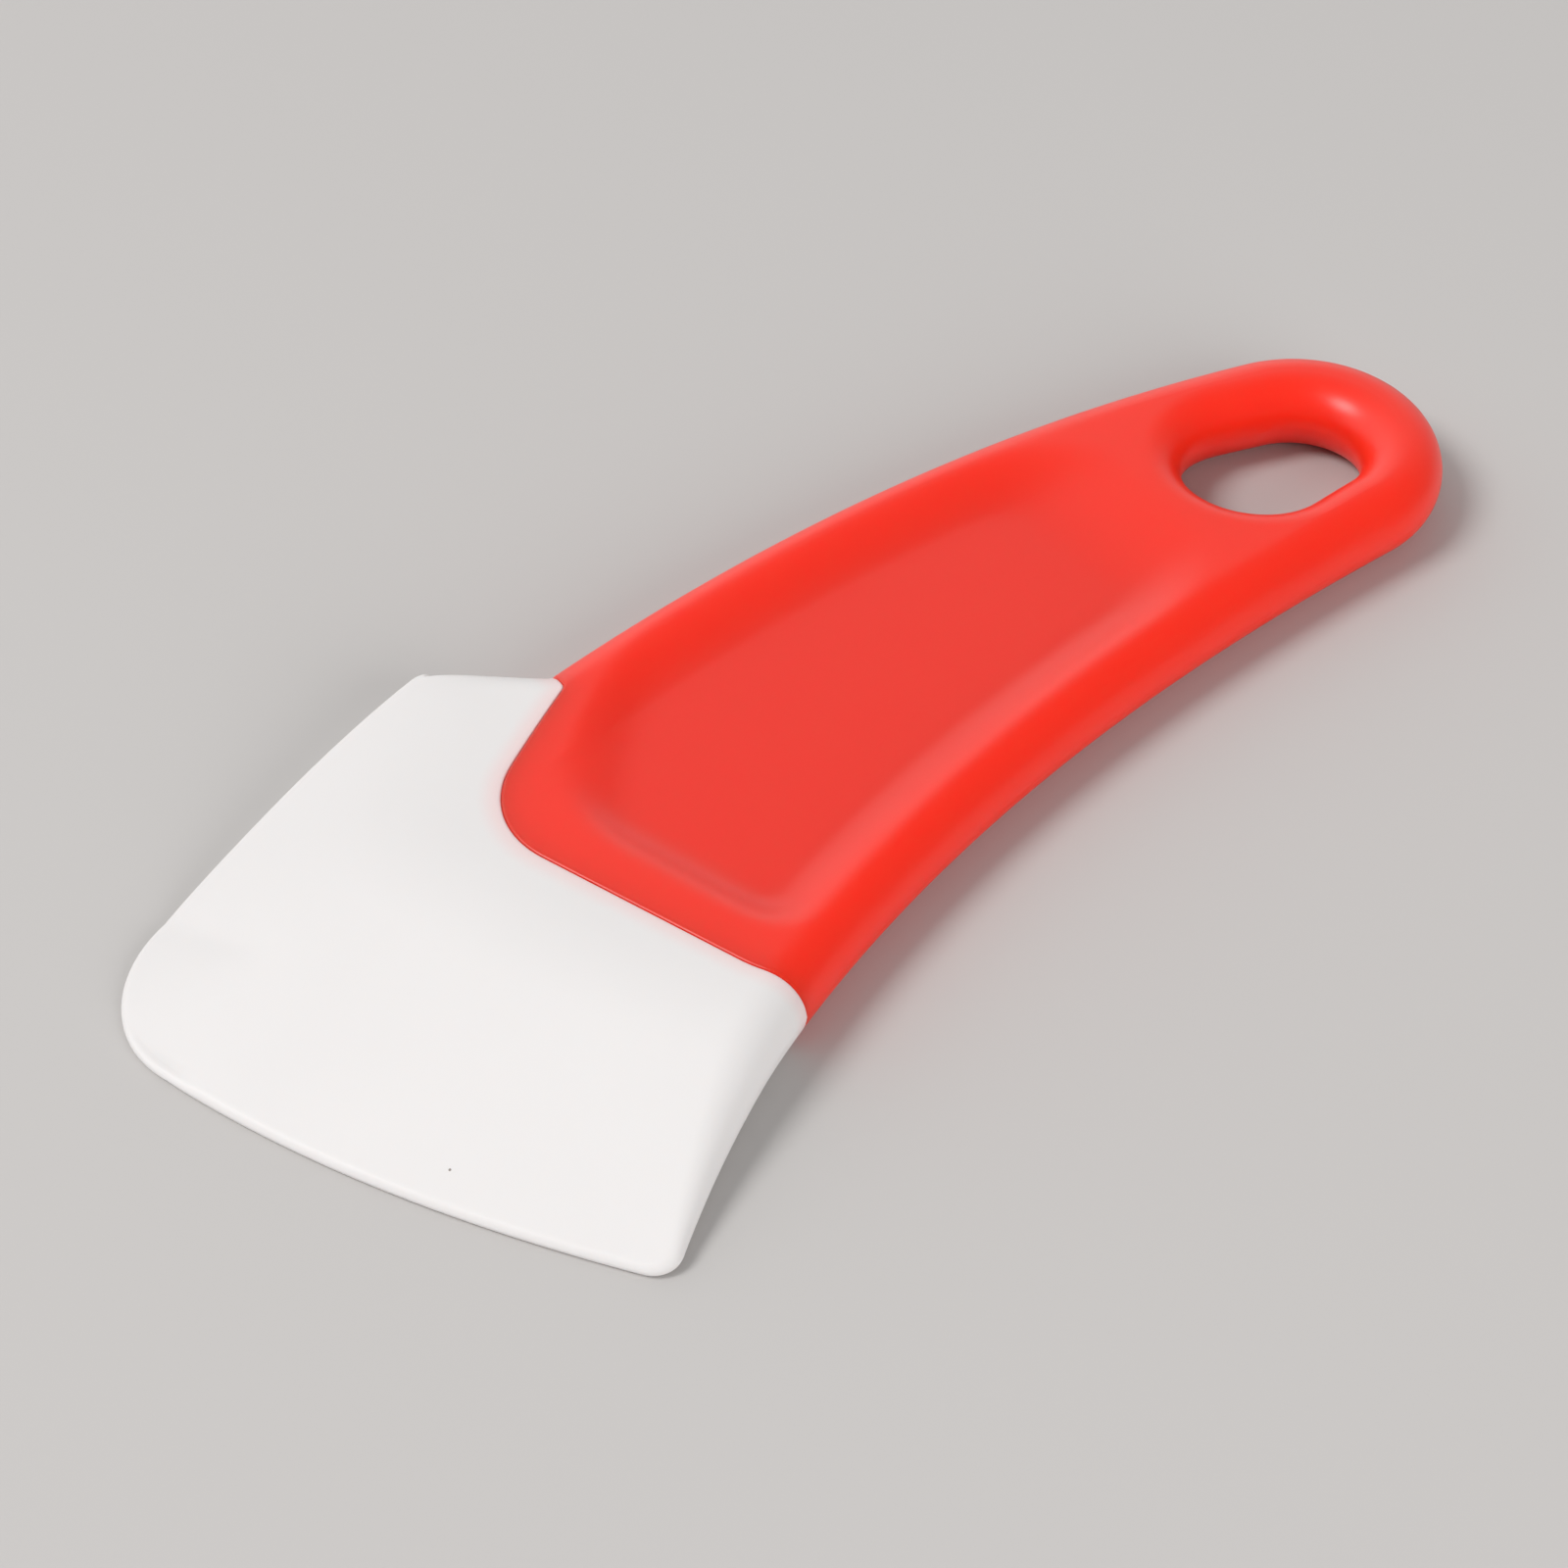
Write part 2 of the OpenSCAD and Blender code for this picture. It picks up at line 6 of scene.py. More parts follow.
import bpy
import numpy as np
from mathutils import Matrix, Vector


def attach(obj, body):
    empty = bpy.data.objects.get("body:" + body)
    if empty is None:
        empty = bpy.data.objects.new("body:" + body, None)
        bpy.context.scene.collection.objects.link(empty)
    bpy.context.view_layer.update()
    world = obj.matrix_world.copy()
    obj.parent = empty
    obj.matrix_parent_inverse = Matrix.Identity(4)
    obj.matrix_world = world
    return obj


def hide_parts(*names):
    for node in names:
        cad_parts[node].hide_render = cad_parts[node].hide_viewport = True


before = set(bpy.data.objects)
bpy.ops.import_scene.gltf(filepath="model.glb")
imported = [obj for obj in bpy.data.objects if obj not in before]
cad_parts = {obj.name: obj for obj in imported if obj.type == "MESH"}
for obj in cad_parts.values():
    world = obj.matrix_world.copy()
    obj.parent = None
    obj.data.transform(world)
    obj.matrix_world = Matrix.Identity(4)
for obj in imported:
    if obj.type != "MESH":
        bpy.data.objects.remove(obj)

MM = 0.001
log = logging.getLogger("pan_scraper")
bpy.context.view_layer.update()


class Side(Enum):
    """The two faces of a piece that is drawn as a plan."""

    UNDER = -1.0
    TOP = 1.0


class Layer(Enum):
    """Named attributes that a plan hands to its Geometry Nodes tree."""

    RIM = "rim_gap"
    TRAY = "tray_share"
    SEAM = "seam_gap"
    SIDE = "face_side"
    HEIGHT = "edge_height"


# The layers that the finishes read, which stay on the finished meshes
FINISH_LAYERS = (Layer.TRAY, Layer.SEAM)


def linear(hex_colour: str) -> tuple[float, float, float, float]:
    """Turns an sRGB hex colour into linear light.

    Args:
        hex_colour: six hex digits after a hash.

    Returns:
        Red, green, blue and an alpha of one.
    """
    parts = [int(hex_colour[i:i + 2], 16) / 255 for i in (1, 3, 5)]
    light = [c / 12.92 if c <= 0.04045 else ((c + 0.055) / 1.055) ** 2.4 for c in parts]
    return (*light, 1.0)


def add_node(tree: bpy.types.NodeTree, kind: str, links: dict | None = None,
             values: dict | None = None, **settings: object) -> bpy.types.Node:
    """Adds a node with its settings, socket values and incoming links.

    Args:
        tree: the tree that gets the node.
        kind: the node's type name.
        links: input name or number to the output socket that feeds it.
        values: input name or number to a constant.
        **settings: the node's own properties.

    Returns:
        The new node.
    """
    node = tree.nodes.new(kind)
    for key, value in settings.items():
        setattr(node, key, value)
    for key, value in (values or {}).items():
        node.inputs[key].default_value = value
    for key, socket in (links or {}).items():
        tree.links.new(socket, node.inputs[key])
    return node


def heading(angle: float) -> np.ndarray:
    """The unit vector at an angle in degrees."""
    return np.array([math.cos(math.radians(angle)), math.sin(math.radians(angle))])


def bearing(v: np.ndarray) -> float:
    """The angle of a vector in degrees."""
    return math.degrees(math.atan2(v[1], v[0]))


def arc(centre: np.ndarray, radius: float, start: float, end: float, steps: int) -> np.ndarray:
    """Points along an arc, both ends included."""
    return np.array([centre + radius * heading(a) for a in np.linspace(start, end, steps + 1)])


def line(start: np.ndarray, end: np.ndarray, steps: int) -> np.ndarray:
    """Evenly spaced points along a line, both ends included."""
    return np.linspace(start, end, steps + 1)


def eased(start: float, end: float, steps: int) -> np.ndarray:
    """Values from start to end that lie closest together at the start."""
    return start + (end - start) * (1 - np.cos(np.linspace(0, math.pi / 2, steps + 1)))


def smooth(x: np.ndarray) -> np.ndarray:
    """The S-shaped step from nought to one."""
    c = np.clip(x, 0, 1)
    return c * c * (3 - 2 * c)


def fall(gap: np.ndarray, radius: np.ndarray) -> np.ndarray:
    """How far a rounded edge has fallen at a distance inside it."""
    q = 1 - np.clip(gap / radius, 0, 1)
    return radius * (1 - np.sqrt(1 - q * q))


def rounded(a: np.ndarray, b: np.ndarray, c: np.ndarray, radius: float, steps: int) -> np.ndarray:
    """The corner b between a and c as an arc.

    Args:
        a: the point before the corner.
        b: the corner.
        c: the point after it.
        radius: the arc's radius.
        steps: its number of steps.

    Returns:
        The arc's points.
    """
    u = (a - b) / np.linalg.norm(a - b)
    v = (c - b) / np.linalg.norm(c - b)
    half = math.degrees(math.acos(float(u @ v))) / 2
    turn = 1.0 if u[0] * v[1] - u[1] * v[0] > 0 else -1.0
    centre = b + (u + v) / np.linalg.norm(u + v) * radius / math.sin(math.radians(half))
    start = bearing(u) - turn * 90
    return arc(centre, radius, start, start - turn * (180 - 2 * half), steps)


def leave_circle(p: np.ndarray, way: np.ndarray, centre: np.ndarray, radius: float) -> np.ndarray:
    """Where the line through p along way leaves a circle.

    Args:
        p: a point on the line, inside the circle.
        way: its unit direction.
        centre: the circle's centre.
        radius: its radius.

    Returns:
        The point on the circle.
    """
    q = p - centre
    b = float(q @ way)
    return p + way * (math.sqrt(b * b - float(q @ q) + radius * radius) - b)


def distance_to(places: np.ndarray, path: np.ndarray) -> np.ndarray:
    """The distance of each place from a path of straight steps.

    Args:
        places: places in the plan, one a row.
        path: the path's points, one a row.

    Returns:
        One distance a place.
    """
    start, step = path[:-1], np.diff(path, axis=0)
    best = np.full(len(places), np.inf)
    for a, d in zip(start, step):
        along = np.clip((places - a) @ d / (d @ d), 0, 1)
        best = np.minimum(best, np.linalg.norm(places - a - along[:, None] * d, axis=1))
    return best


@dataclass(frozen=True)
class PlanMesh:
    """A piece's plan as a closed shell: places, cells, border loops and named attributes."""

    places: np.ndarray
    cells: list[tuple[int, ...]]
    loops: list[list[int]]
    values: dict[Layer, tuple[np.ndarray, np.ndarray]]

    def build(self, name: str) -> bpy.types.Object:
        """Makes the flat shell that a Geometry Nodes tree then shapes.

        Args:
            name: the object's name.

        Returns:
            The object, linked to the scene.
        """
        n = len(self.places)
        verts = [(x * MM, y * MM, 0.0) for x, y in self.places] * 2
        faces = list(self.cells)
        faces += [tuple(i + n for i in reversed(cell)) for cell in self.cells]
        for loop in self.loops:
            for a, b in zip(loop, loop[1:] + loop[:1]):
                faces.append((a, b, b + n, a + n))
        mesh = bpy.data.meshes.new(name)
        mesh.from_pydata(verts, [], faces)
        sides = {Layer.SIDE: (np.full(n, Side.UNDER.value), np.full(n, Side.TOP.value))}
        for layer, (under, top) in {**self.values, **sides}.items():
            values = mesh.attributes.new(layer.value, "FLOAT", "POINT")
            values.data.foreach_set("value", np.concatenate([under, top]).astype(np.float32))
        mesh.update()
        piece = bpy.data.objects.new(name, mesh)
        bpy.context.scene.collection.objects.link(piece)
        return piece


@dataclass(frozen=True)
class Finish:
    """A finish: what the real material is, and how it is drawn."""

    name: str
    colour: str
    roughness: float
    ior: float

    def start(self, more: dict | None = None
              ) -> tuple[bpy.types.Material, bpy.types.Node, bpy.types.NodeSocket]:
        """Makes the material with its shader and its place on the piece.

        Args:
            more: further inputs of the shader, by name.

        Returns:
            The material, its shader and the socket with the Object coordinates.
        """
        material = bpy.data.materials.new(self.name)
        material.use_nodes = True
        tree = material.node_tree
        tree.nodes.clear()
        shader = add_node(tree, "ShaderNodeBsdfPrincipled", values={
            "Base Color": linear(self.colour), "Roughness": self.roughness, "IOR": self.ior,
            **(more or {})})
        add_node(tree, "ShaderNodeOutputMaterial", {"Surface": shader.outputs[0]})
        return material, shader, add_node(tree, "ShaderNodeTexCoord").outputs["Object"]


@dataclass(frozen=True)
class MouldedPolypropylene(Finish):
    """Red polypropylene from a spark-eroded mould: even, slightly cloudy colour, a satin skin, and
    painted shade on the tray's floor.
    """

    cloud: str = "#f02b14"
    # Painted shade on the tray's floor: its darker red and how strongly it is laid on
    tray_painted_shade: str = "#e72914"
    tray_shade_strength: float = 0.85
    cloud_mm: float = 18.0
    glow: float = 0.8
    glow_mm: float = 6.0
    glow_reach: tuple[float, float, float] = (1.0, 0.1, 0.06)
    gloss_spread: float = 0.03
    grain_mm: float = 0.35
    grain_detail: float = 3.0
    grain_depth_mm: float = 0.006
    grain_strength: float = 0.5

    def material(self) -> bpy.types.Material:
        """Makes the finish.

        Returns:
            The finished material.
        """
        # Red light travels some millimetres inside the plastic and evens out its shadows
        material, shader, place = self.start({
            "Subsurface Weight": self.glow, "Subsurface Radius": self.glow_reach,
            "Subsurface Scale": self.glow_mm * MM})
        tree = material.node_tree
        # The pigment lies a little thicker where the melt met, so the red is never quite even
        cloud = add_node(tree, "ShaderNodeTexNoise", {"Vector": place},
                         {"Scale": 1 / (self.cloud_mm * MM)})
        mix = add_node(tree, "ShaderNodeMix", {"Factor": cloud.outputs["Fac"]},
                       {6: linear(self.colour), 7: linear(self.cloud)}, data_type="RGBA")
        # Painted shade: a darker red is laid over the tray's floor to stand in for the light that
        # its hollow misses
        tray = add_node(tree, "ShaderNodeAttribute", attribute_name=Layer.TRAY.value)
        shade_strength = add_node(tree, "ShaderNodeMath", {0: tray.outputs["Fac"]}, {1: self.tray_shade_strength},
                         operation="MULTIPLY")
        tray_shaded = add_node(tree, "ShaderNodeMix", {"Factor": shade_strength.outputs[0], 6: mix.outputs[2]},
                         {7: linear(self.tray_painted_shade)}, data_type="RGBA")
        tree.links.new(tray_shaded.outputs[2], shader.inputs["Base Color"])
        # Spark erosion leaves pits of 0.05 mm; they are drawn coarser, so that they just show
        grain = add_node(tree, "ShaderNodeTexNoise", {"Vector": place},
                         {"Scale": 1 / (self.grain_mm * MM), "Detail": self.grain_detail})
        bump = add_node(tree, "ShaderNodeBump", {"Height": grain.outputs["Fac"]},
                        {"Strength": self.grain_strength, "Distance": self.grain_depth_mm * MM})
        tree.links.new(bump.outputs[0], shader.inputs["Normal"])
        rough = add_node(tree, "ShaderNodeMapRange", {"Value": cloud.outputs["Fac"]},
                         {"To Min": self.roughness - self.gloss_spread,
                          "To Max": self.roughness + self.gloss_spread})
        tree.links.new(rough.outputs[0], shader.inputs["Roughness"])
        return material


@dataclass(frozen=True)
class MouldedSilicone(Finish):
    """White silicone rubber, moulded: milky, soft in its shadows, with a dry satin skin and a
    painted red glow beside the seam.
    """

    shade: str = "#dfdcdb"
    glow: float = 0.15
    glow_mm: float = 1.5
    glow_reach: tuple[float, float, float] = (1.0, 0.8, 0.7)
    cloud_mm: float = 25.0
    # Painted red glow beside the seam: its colour and how far it reaches
    seam_red_glow: str = "#e6cfce"
    seam_glow_mm: float = 3.0
    speck: str = "#8f8580"
    speck_mm: float = 8.2
    speck_share: float = 0.024
    wave_mm: float = 0.5
    wave_depth_mm: float = 0.004
    wave_strength: float = 0.4

    def material(self) -> bpy.types.Material:
        """Makes the finish.

        Returns:
            The finished material.
        """
        # Light travels a millimetre or two inside the silicone, so its shadows are milky
        material, shader, place = self.start({
            "Subsurface Weight": self.glow, "Subsurface Radius": self.glow_reach,
            "Subsurface Scale": self.glow_mm * MM})
        tree = material.node_tree
        cloud = add_node(tree, "ShaderNodeTexNoise", {"Vector": place},
                         {"Scale": 1 / (self.cloud_mm * MM)})
        mix = add_node(tree, "ShaderNodeMix", {"Factor": cloud.outputs["Fac"]},
                       {6: linear(self.colour), 7: linear(self.shade)}, data_type="RGBA")
        # Painted light: a faint red glow beside the seam stands in for light from the red tongue
        # that shows through the silicone
        seam = add_node(tree, "ShaderNodeAttribute", attribute_name=Layer.SEAM.value)
        near = add_node(tree, "ShaderNodeMapRange", {"Value": seam.outputs["Fac"]},
                        {"From Max": self.seam_glow_mm * MM, "To Min": 1.0, "To Max": 0.0},
                        interpolation_type="SMOOTHSTEP")
        seam_glowed = add_node(tree, "ShaderNodeMix", {"Factor": near.outputs[0], 6: mix.outputs[2]},
                          {7: linear(self.seam_red_glow)}, data_type="RGBA")
        # Silicone holds dust: a speck of about half a millimetre every few centimetres
        dust = add_node(tree, "ShaderNodeTexVoronoi", {"Vector": place},
                        {"Scale": 1 / (self.speck_mm * MM)})
        speck = add_node(tree, "ShaderNodeMath", {0: dust.outputs["Distance"]},
                         {1: self.speck_share}, operation="LESS_THAN")
        dusty = add_node(tree, "ShaderNodeMix", {"Factor": speck.outputs[0], 6: seam_glowed.outputs[2]},
                         {7: linear(self.speck)}, data_type="RGBA")
        tree.links.new(dusty.outputs[2], shader.inputs["Base Color"])
        # A polished mould and a dry powder finish leave a faint unevenness, no grain
        wave = add_node(tree, "ShaderNodeTexNoise", {"Vector": place},
                        {"Scale": 1 / (self.wave_mm * MM)})
        bump = add_node(tree, "ShaderNodeBump", {"Height": wave.outputs["Fac"]},
                        {"Strength": self.wave_strength, "Distance": self.wave_depth_mm * MM})
        tree.links.new(bump.outputs[0], shader.inputs["Normal"])
        return material


@dataclass(frozen=True)
class MouldedNylon(Finish):
    """Natural nylon, moulded: a dull ivory with a fine cloudiness. It is sealed inside."""

    shade: str = "#c9c1ab"
    cloud_mm: float = 6.0

    def material(self) -> bpy.types.Material:
        """Makes the finish.

        Returns:
            The finished material.
        """
        material, shader, place = self.start()
        tree = material.node_tree
        cloud = add_node(tree, "ShaderNodeTexNoise", {"Vector": place},
                         {"Scale": 1 / (self.cloud_mm * MM)})
        mix = add_node(tree, "ShaderNodeMix", {"Factor": cloud.outputs["Fac"]},
                       {6: linear(self.colour), 7: linear(self.shade)}, data_type="RGBA")
        tree.links.new(mix.outputs[2], shader.inputs["Base Color"])
        return material


@dataclass(frozen=True)
class HandlePlan:
    """The handle's plan in millimetres and degrees: outline, rim, hang hole, tray and tongue."""

    thickness: float = 10.4
    bend_r: float = 262.0
    ring_back: float = 82.3
    ring_r: float = 18.2
    ring_flare: float = 8.0
    front_s: float = 36.8
    front_w: float = 57.6
    front_flare: float = 5.0
    hole_l: float = 24.0
    hole_w: float = 18.2
    hole_t: float = 0.5
    hole_gain: float = 0.6
    tray_depth: float = 2.2
    tray_in: float = 3.4
    tray_wall: float = 9.5
    tray_near_wall: float = 7.8
    tray_front_wall: float = 6.8
    tray_rear_wall: float = 16.0
    tray_land: float = 5.0
    tray_gap: float = 0.6
    tray_cut: float = 13.2
    tray_cut_angle: float = 35.0
    corner_reach: float = 1.3
    corner_power: float = 2.5
    tongue_l: float = 23.7
    cut_depth: float = 4.6
    cut_lean: float = 2.0
    cut_corner_r: float = 1.2
    tongue_slant: float = 17.0
    tongue_corner_r: float = 12.6
    seam_lean: float = 1.1
    seam_lean_w: float = 8.0
    strip_w: float = 2.0
    parting_band: float = 0.1
    seam_r: float = 0.35
    turn_share: float = 0.46
    rim_steps: int = 12
    ray_steps: int = 12
    wall_steps: int = 12
    grip_rows: int = 70
    side_steps: int = 18
    end_steps: int = 56
    corner_steps: int = 18
    small_steps: int = 5

    @property
    def rim_r(self) -> float:
        """Radius of the rounded rim."""
        return self.thickness / 2

    @property
    def ring_s(self) -> float:
        """Where the ring end's centre lies along the axis."""
        return -self.ring_back

    @property
    def grip_s(self) -> float:
        """Where the handle's sides leave the ring end."""
        return self.ring_s - self.ring_r * math.sin(math.radians(self.ring_flare))

    @property
    def shoulder_s(self) -> float:
        """Where the blade's shoulder starts along the axis."""
        return self.front_s - self.tongue_l

    @property
    def hole_rear_s(self) -> float:
        """Where the centre of the hang hole's rear end lies along the axis."""
        return self.ring_s + self.hole_gain

    @property
    def hole_rear_r(self) -> float:
        """Radius of the hang hole's rear end."""
        return self.ring_r - self.thickness

    @property
    def hole_front_r(self) -> float:
        """Radius of the hang hole's front end."""
        return self.hole_w / 2

    @property
    def hole_front_s(self) -> float:
        """Where the centre of the hang hole's front end lies along the axis."""
        return self.hole_rear_s - self.hole_rear_r + self.hole_l - self.hole_front_r

    @property
    def hole_taper(self) -> float:
        """Sine of the angle at which the hang hole's sides spread."""
        return (self.hole_rear_r - self.hole_front_r) / (self.hole_front_s - self.hole_rear_s)

    @property
    def join_s(self) -> float:
        """Where the ring end's rays give way to the grip's rows."""
        return self.hole_front_s + self.hole_front_r + self.rim_r

    def half_w(self, s: np.ndarray) -> np.ndarray:
        """Half the handle's width along its axis, a cubic.

        Args:
            s: places along the axis.

        Returns:
            Half the width at each.
        """
        length = self.front_s - self.grip_s
        x = (np.asarray(s, float) - self.grip_s) / length
        start = self.ring_r * math.cos(math.radians(self.ring_flare))
        rise = length * math.tan(math.radians(self.ring_flare))
        run = length * math.tan(math.radians(self.front_flare))
        return (start * (1 - 3 * x ** 2 + 2 * x ** 3) + rise * (x - 2 * x ** 2 + x ** 3)
                + self.front_w / 2 * (3 * x ** 2 - 2 * x ** 3) + run * (x ** 3 - x ** 2))

    def from_side(self, p: np.ndarray) -> np.ndarray:
        """Distance of places from the handle's outer edge.

        Args:
            p: places in the plan, one a row.

        Returns:
            One distance a place.
        """
        ring = self.ring_r - np.hypot(p[:, 0] - self.ring_s, p[:, 1])
        side = (self.half_w(p[:, 0]) - np.abs(p[:, 1])) * math.cos(math.radians(self.ring_flare))
        return np.where(p[:, 0] < self.grip_s, ring, side)

    def from_hole(self, p: np.ndarray) -> np.ndarray:
        """Distance of places from the hang hole's throat, two circles and their tangents.

        Args:
            p: places in the plan, one a row.

        Returns:
            One distance a place.
        """
        length = self.hole_front_s - self.hole_rear_s
        square = math.sqrt(1 - self.hole_taper ** 2)
        x, y = p[:, 0] - self.hole_rear_s, np.abs(p[:, 1] - self.hole_t)
        along = x * square - y * self.hole_taper
        rear = np.hypot(x, y) - self.hole_rear_r
        front = np.hypot(x - length, y) - self.hole_front_r
        side = x * self.hole_taper + y * square - self.hole_rear_r
        return np.where(along < 0, rear, np.where(along > square * length, front, side))

    def tray_share(self, p: np.ndarray) -> np.ndarray:
        """Share of the tray's depth at places: nought outside its crest, one on its floor.

        Args:
            p: places in the plan, one a row.

        Returns:
            One share a place.
        """
        front = self.front_s - self.tray_land
        corner = np.array([front, -(self.half_w(front) - self.tray_in)])
        inward = -heading(self.tray_cut_angle - 90)
        side_wall = np.where(p[:, 1] > 0, self.tray_near_wall, self.tray_wall)
        shares = np.stack([
            (self.half_w(p[:, 0]) - self.tray_in - np.abs(p[:, 1])) / side_wall,
            (p[:, 0] - self.join_s - self.tray_gap) / self.tray_rear_wall,
            (front - p[:, 0]) / self.tray_front_wall,
            ((p - corner) @ inward - self.tray_cut) / self.tray_front_wall,
        ])
        short = np.maximum(0, self.corner_reach - shares)
        power = self.corner_power
        return smooth(self.corner_reach - (short ** power).sum(axis=0) ** (1 / power))

    @property
    def cut_start(self) -> np.ndarray:
        """Where the tongue's edge starts, on the handle's far side."""
        return np.array([self.shoulder_s, -float(self.half_w(self.shoulder_s))])

    @property
    def cut_end(self) -> np.ndarray:
        """Where the cut across the far rim meets the tongue's slanting side."""
        return self.cut_start + [self.cut_lean, self.cut_depth]

    @property
    def tongue_centre(self) -> np.ndarray:
        """Centre of the tongue's far front corner.

        Returns:
            Its place in the plan.
        """
        end = self.cut_end
        slant = math.radians(self.tongue_slant)
        s = self.front_s - self.tongue_corner_r
        t = end[1] + math.tan(slant) * (s - end[0]) + self.tongue_corner_r / math.cos(slant)
        return np.array([s, t])

    def tongue_side(self) -> np.ndarray:
        """The tongue's edge from the handle's far side to its front line.

        Returns:
            Its points, one a row.
        """
        centre = self.tongue_centre
        slant_end = centre + self.tongue_corner_r * heading(self.tongue_slant - 90)
        corner = rounded(self.cut_start, self.cut_end, slant_end, self.cut_corner_r,
                         self.small_steps)
        cut = self.cut_start + np.outer(eased(0, 1, self.rim_steps), corner[0] - self.cut_start)
        front = arc(centre, self.tongue_corner_r, self.tongue_slant - 90, 0, self.corner_steps)
        slant = line(corner[-1], slant_end, self.wall_steps)
        return np.concatenate([cut, corner[1:], slant[1:], front[1:]])

    def across(self, s: float, far_t: float) -> np.ndarray:
        """One row of places across the handle, from its far end to its near edge.

        Args:
            s: where the row lies along the axis.
            far_t: where its far end lies across it.

        Returns:
            The row's places.
        """
        edge = float(self.half_w(s))
        crest = edge - self.rim_r
        floor = edge - self.tray_in - self.tray_wall
        rim_in = max(-crest, far_t + self.strip_w)
        wall_in = max(-floor, rim_in + self.strip_w)
        t = np.concatenate([
            eased(far_t, rim_in, self.rim_steps),
            line(rim_in, wall_in, self.wall_steps)[1:],
            line(wall_in, floor, self.wall_steps)[1:],
            line(floor, crest, self.wall_steps)[1:],
            eased(edge, crest, self.rim_steps)[::-1][1:],
        ])
        return self.leant(np.stack([np.full_like(t, s), t], axis=1))

    def leant(self, p: np.ndarray) -> np.ndarray:
        """Places near the tongue's front line, drawn back where it crosses the near rim.

        Args:
            p: places in the plan, one a row.

        Returns:
            The places after that.
        """
        s, t = p[:, 0], p[:, 1]
        ahead = smooth((s - self.shoulder_s) / self.tongue_l)
        beside = smooth(1 - (self.half_w(s) - t) / self.seam_lean_w)
        back = s - self.seam_lean * ahead * beside
        return np.stack([back, t + (self.half_w(back) - self.half_w(s)) * beside], axis=1)

    def tongue_edge(self) -> np.ndarray:
        """The whole edge where the handle meets the blade, from its far to its near end."""
        front = self.across(self.front_s, self.tongue_centre[1])
        return np.concatenate([self.tongue_side(), front[1:]])

    def throat_for(self, p: np.ndarray) -> np.ndarray:
        """The place on the hang hole's throat that a ray to p starts from.

        Args:
            p: the ray's far end.

        Returns:
            The ray's near end.
        """
        if p[0] > self.hole_front_s:
            centre = np.array([self.hole_front_s, self.hole_t])
            return centre + self.hole_front_r * heading(bearing(p - centre))
        if p[0] < self.hole_rear_s:
            centre = np.array([self.hole_rear_s, self.hole_t])
            return centre + self.hole_rear_r * heading(bearing(p - centre))
        if p[0] > self.hole_front_s + self.hole_front_r * self.hole_taper:
            beside = math.sqrt(self.hole_front_r ** 2 - (p[0] - self.hole_front_s) ** 2)
        else:
            square = math.sqrt(1 - self.hole_taper ** 2)
            beside = (self.hole_rear_r - (p[0] - self.hole_rear_s) * self.hole_taper) / square
        return np.array([p[0], self.hole_t + math.copysign(beside, p[1])])

    def ring_outline(self) -> np.ndarray:
        """The outline round the ring end, between the two ends of the join.

        Returns:
            Its points, one a row.
        """
        s = np.linspace(self.join_s, self.grip_s, self.side_steps + 1)
        near = np.stack([s, self.half_w(s)], axis=1)
        end = arc(np.array([self.ring_s, 0.0]), self.ring_r,
                  90 + self.ring_flare, 270 - self.ring_flare, self.end_steps)
        far = near[::-1] * [1, -1]
        return np.concatenate([near[1:], end[1:], far[1:-1]])

    def plan(self) -> PlanMesh:
        """The handle as one shell: rows along the grip and rays round the hang hole.

        Returns:
            The plan with the distances that shape it.
        """
        rows = [(s, -float(self.half_w(s))) for s in
                np.linspace(self.join_s, self.shoulder_s, self.grip_rows + 1)[:-1]]
        rows += [tuple(p) for p in self.tongue_side()]
        grip = np.array([self.across(s, t) for s, t in rows])
        row_n, col_n = grip.shape[:2]
        outline = self.ring_outline()
        ends = np.concatenate([grip[0], outline])
        starts = np.array([self.throat_for(p) for p in ends])
        length = np.linalg.norm(ends - starts, axis=1)
        turn = np.minimum(self.rim_r, length * self.turn_share)
        last = 2 * self.rim_steps + self.ray_steps
        rings = []
        for k in range(last):
            nearest = min(k, last - k, self.rim_steps)
            rounding = turn * (1 - math.cos(math.pi / 2 * nearest / self.rim_steps))
            share = np.clip((k - self.rim_steps) / self.ray_steps, 0, 1)
            d = rounding + (length - 2 * rounding) * share
            rings.append(starts + (ends - starts) * (d / length)[:, None])
        ray_n = len(ends)
        places = np.concatenate([grip.reshape(-1, 2), *rings, outline])

        def grip_i(row: int, col: int) -> int:
            """Index of a place of the grip."""
            return row * col_n + col

        def ring_i(k: int, ray: int) -> int:
            """Index of a place on a ray of the ring end.

            Args:
                k: the place's number from the throat outwards.
                ray: the ray's number.

            Returns:
                Its index, which the last place shares with the grip or the outline.
            """
            ray %= ray_n
            if k < last:
                return row_n * col_n + k * ray_n + ray
            return ray if ray < col_n else row_n * col_n + last * ray_n + ray - col_n

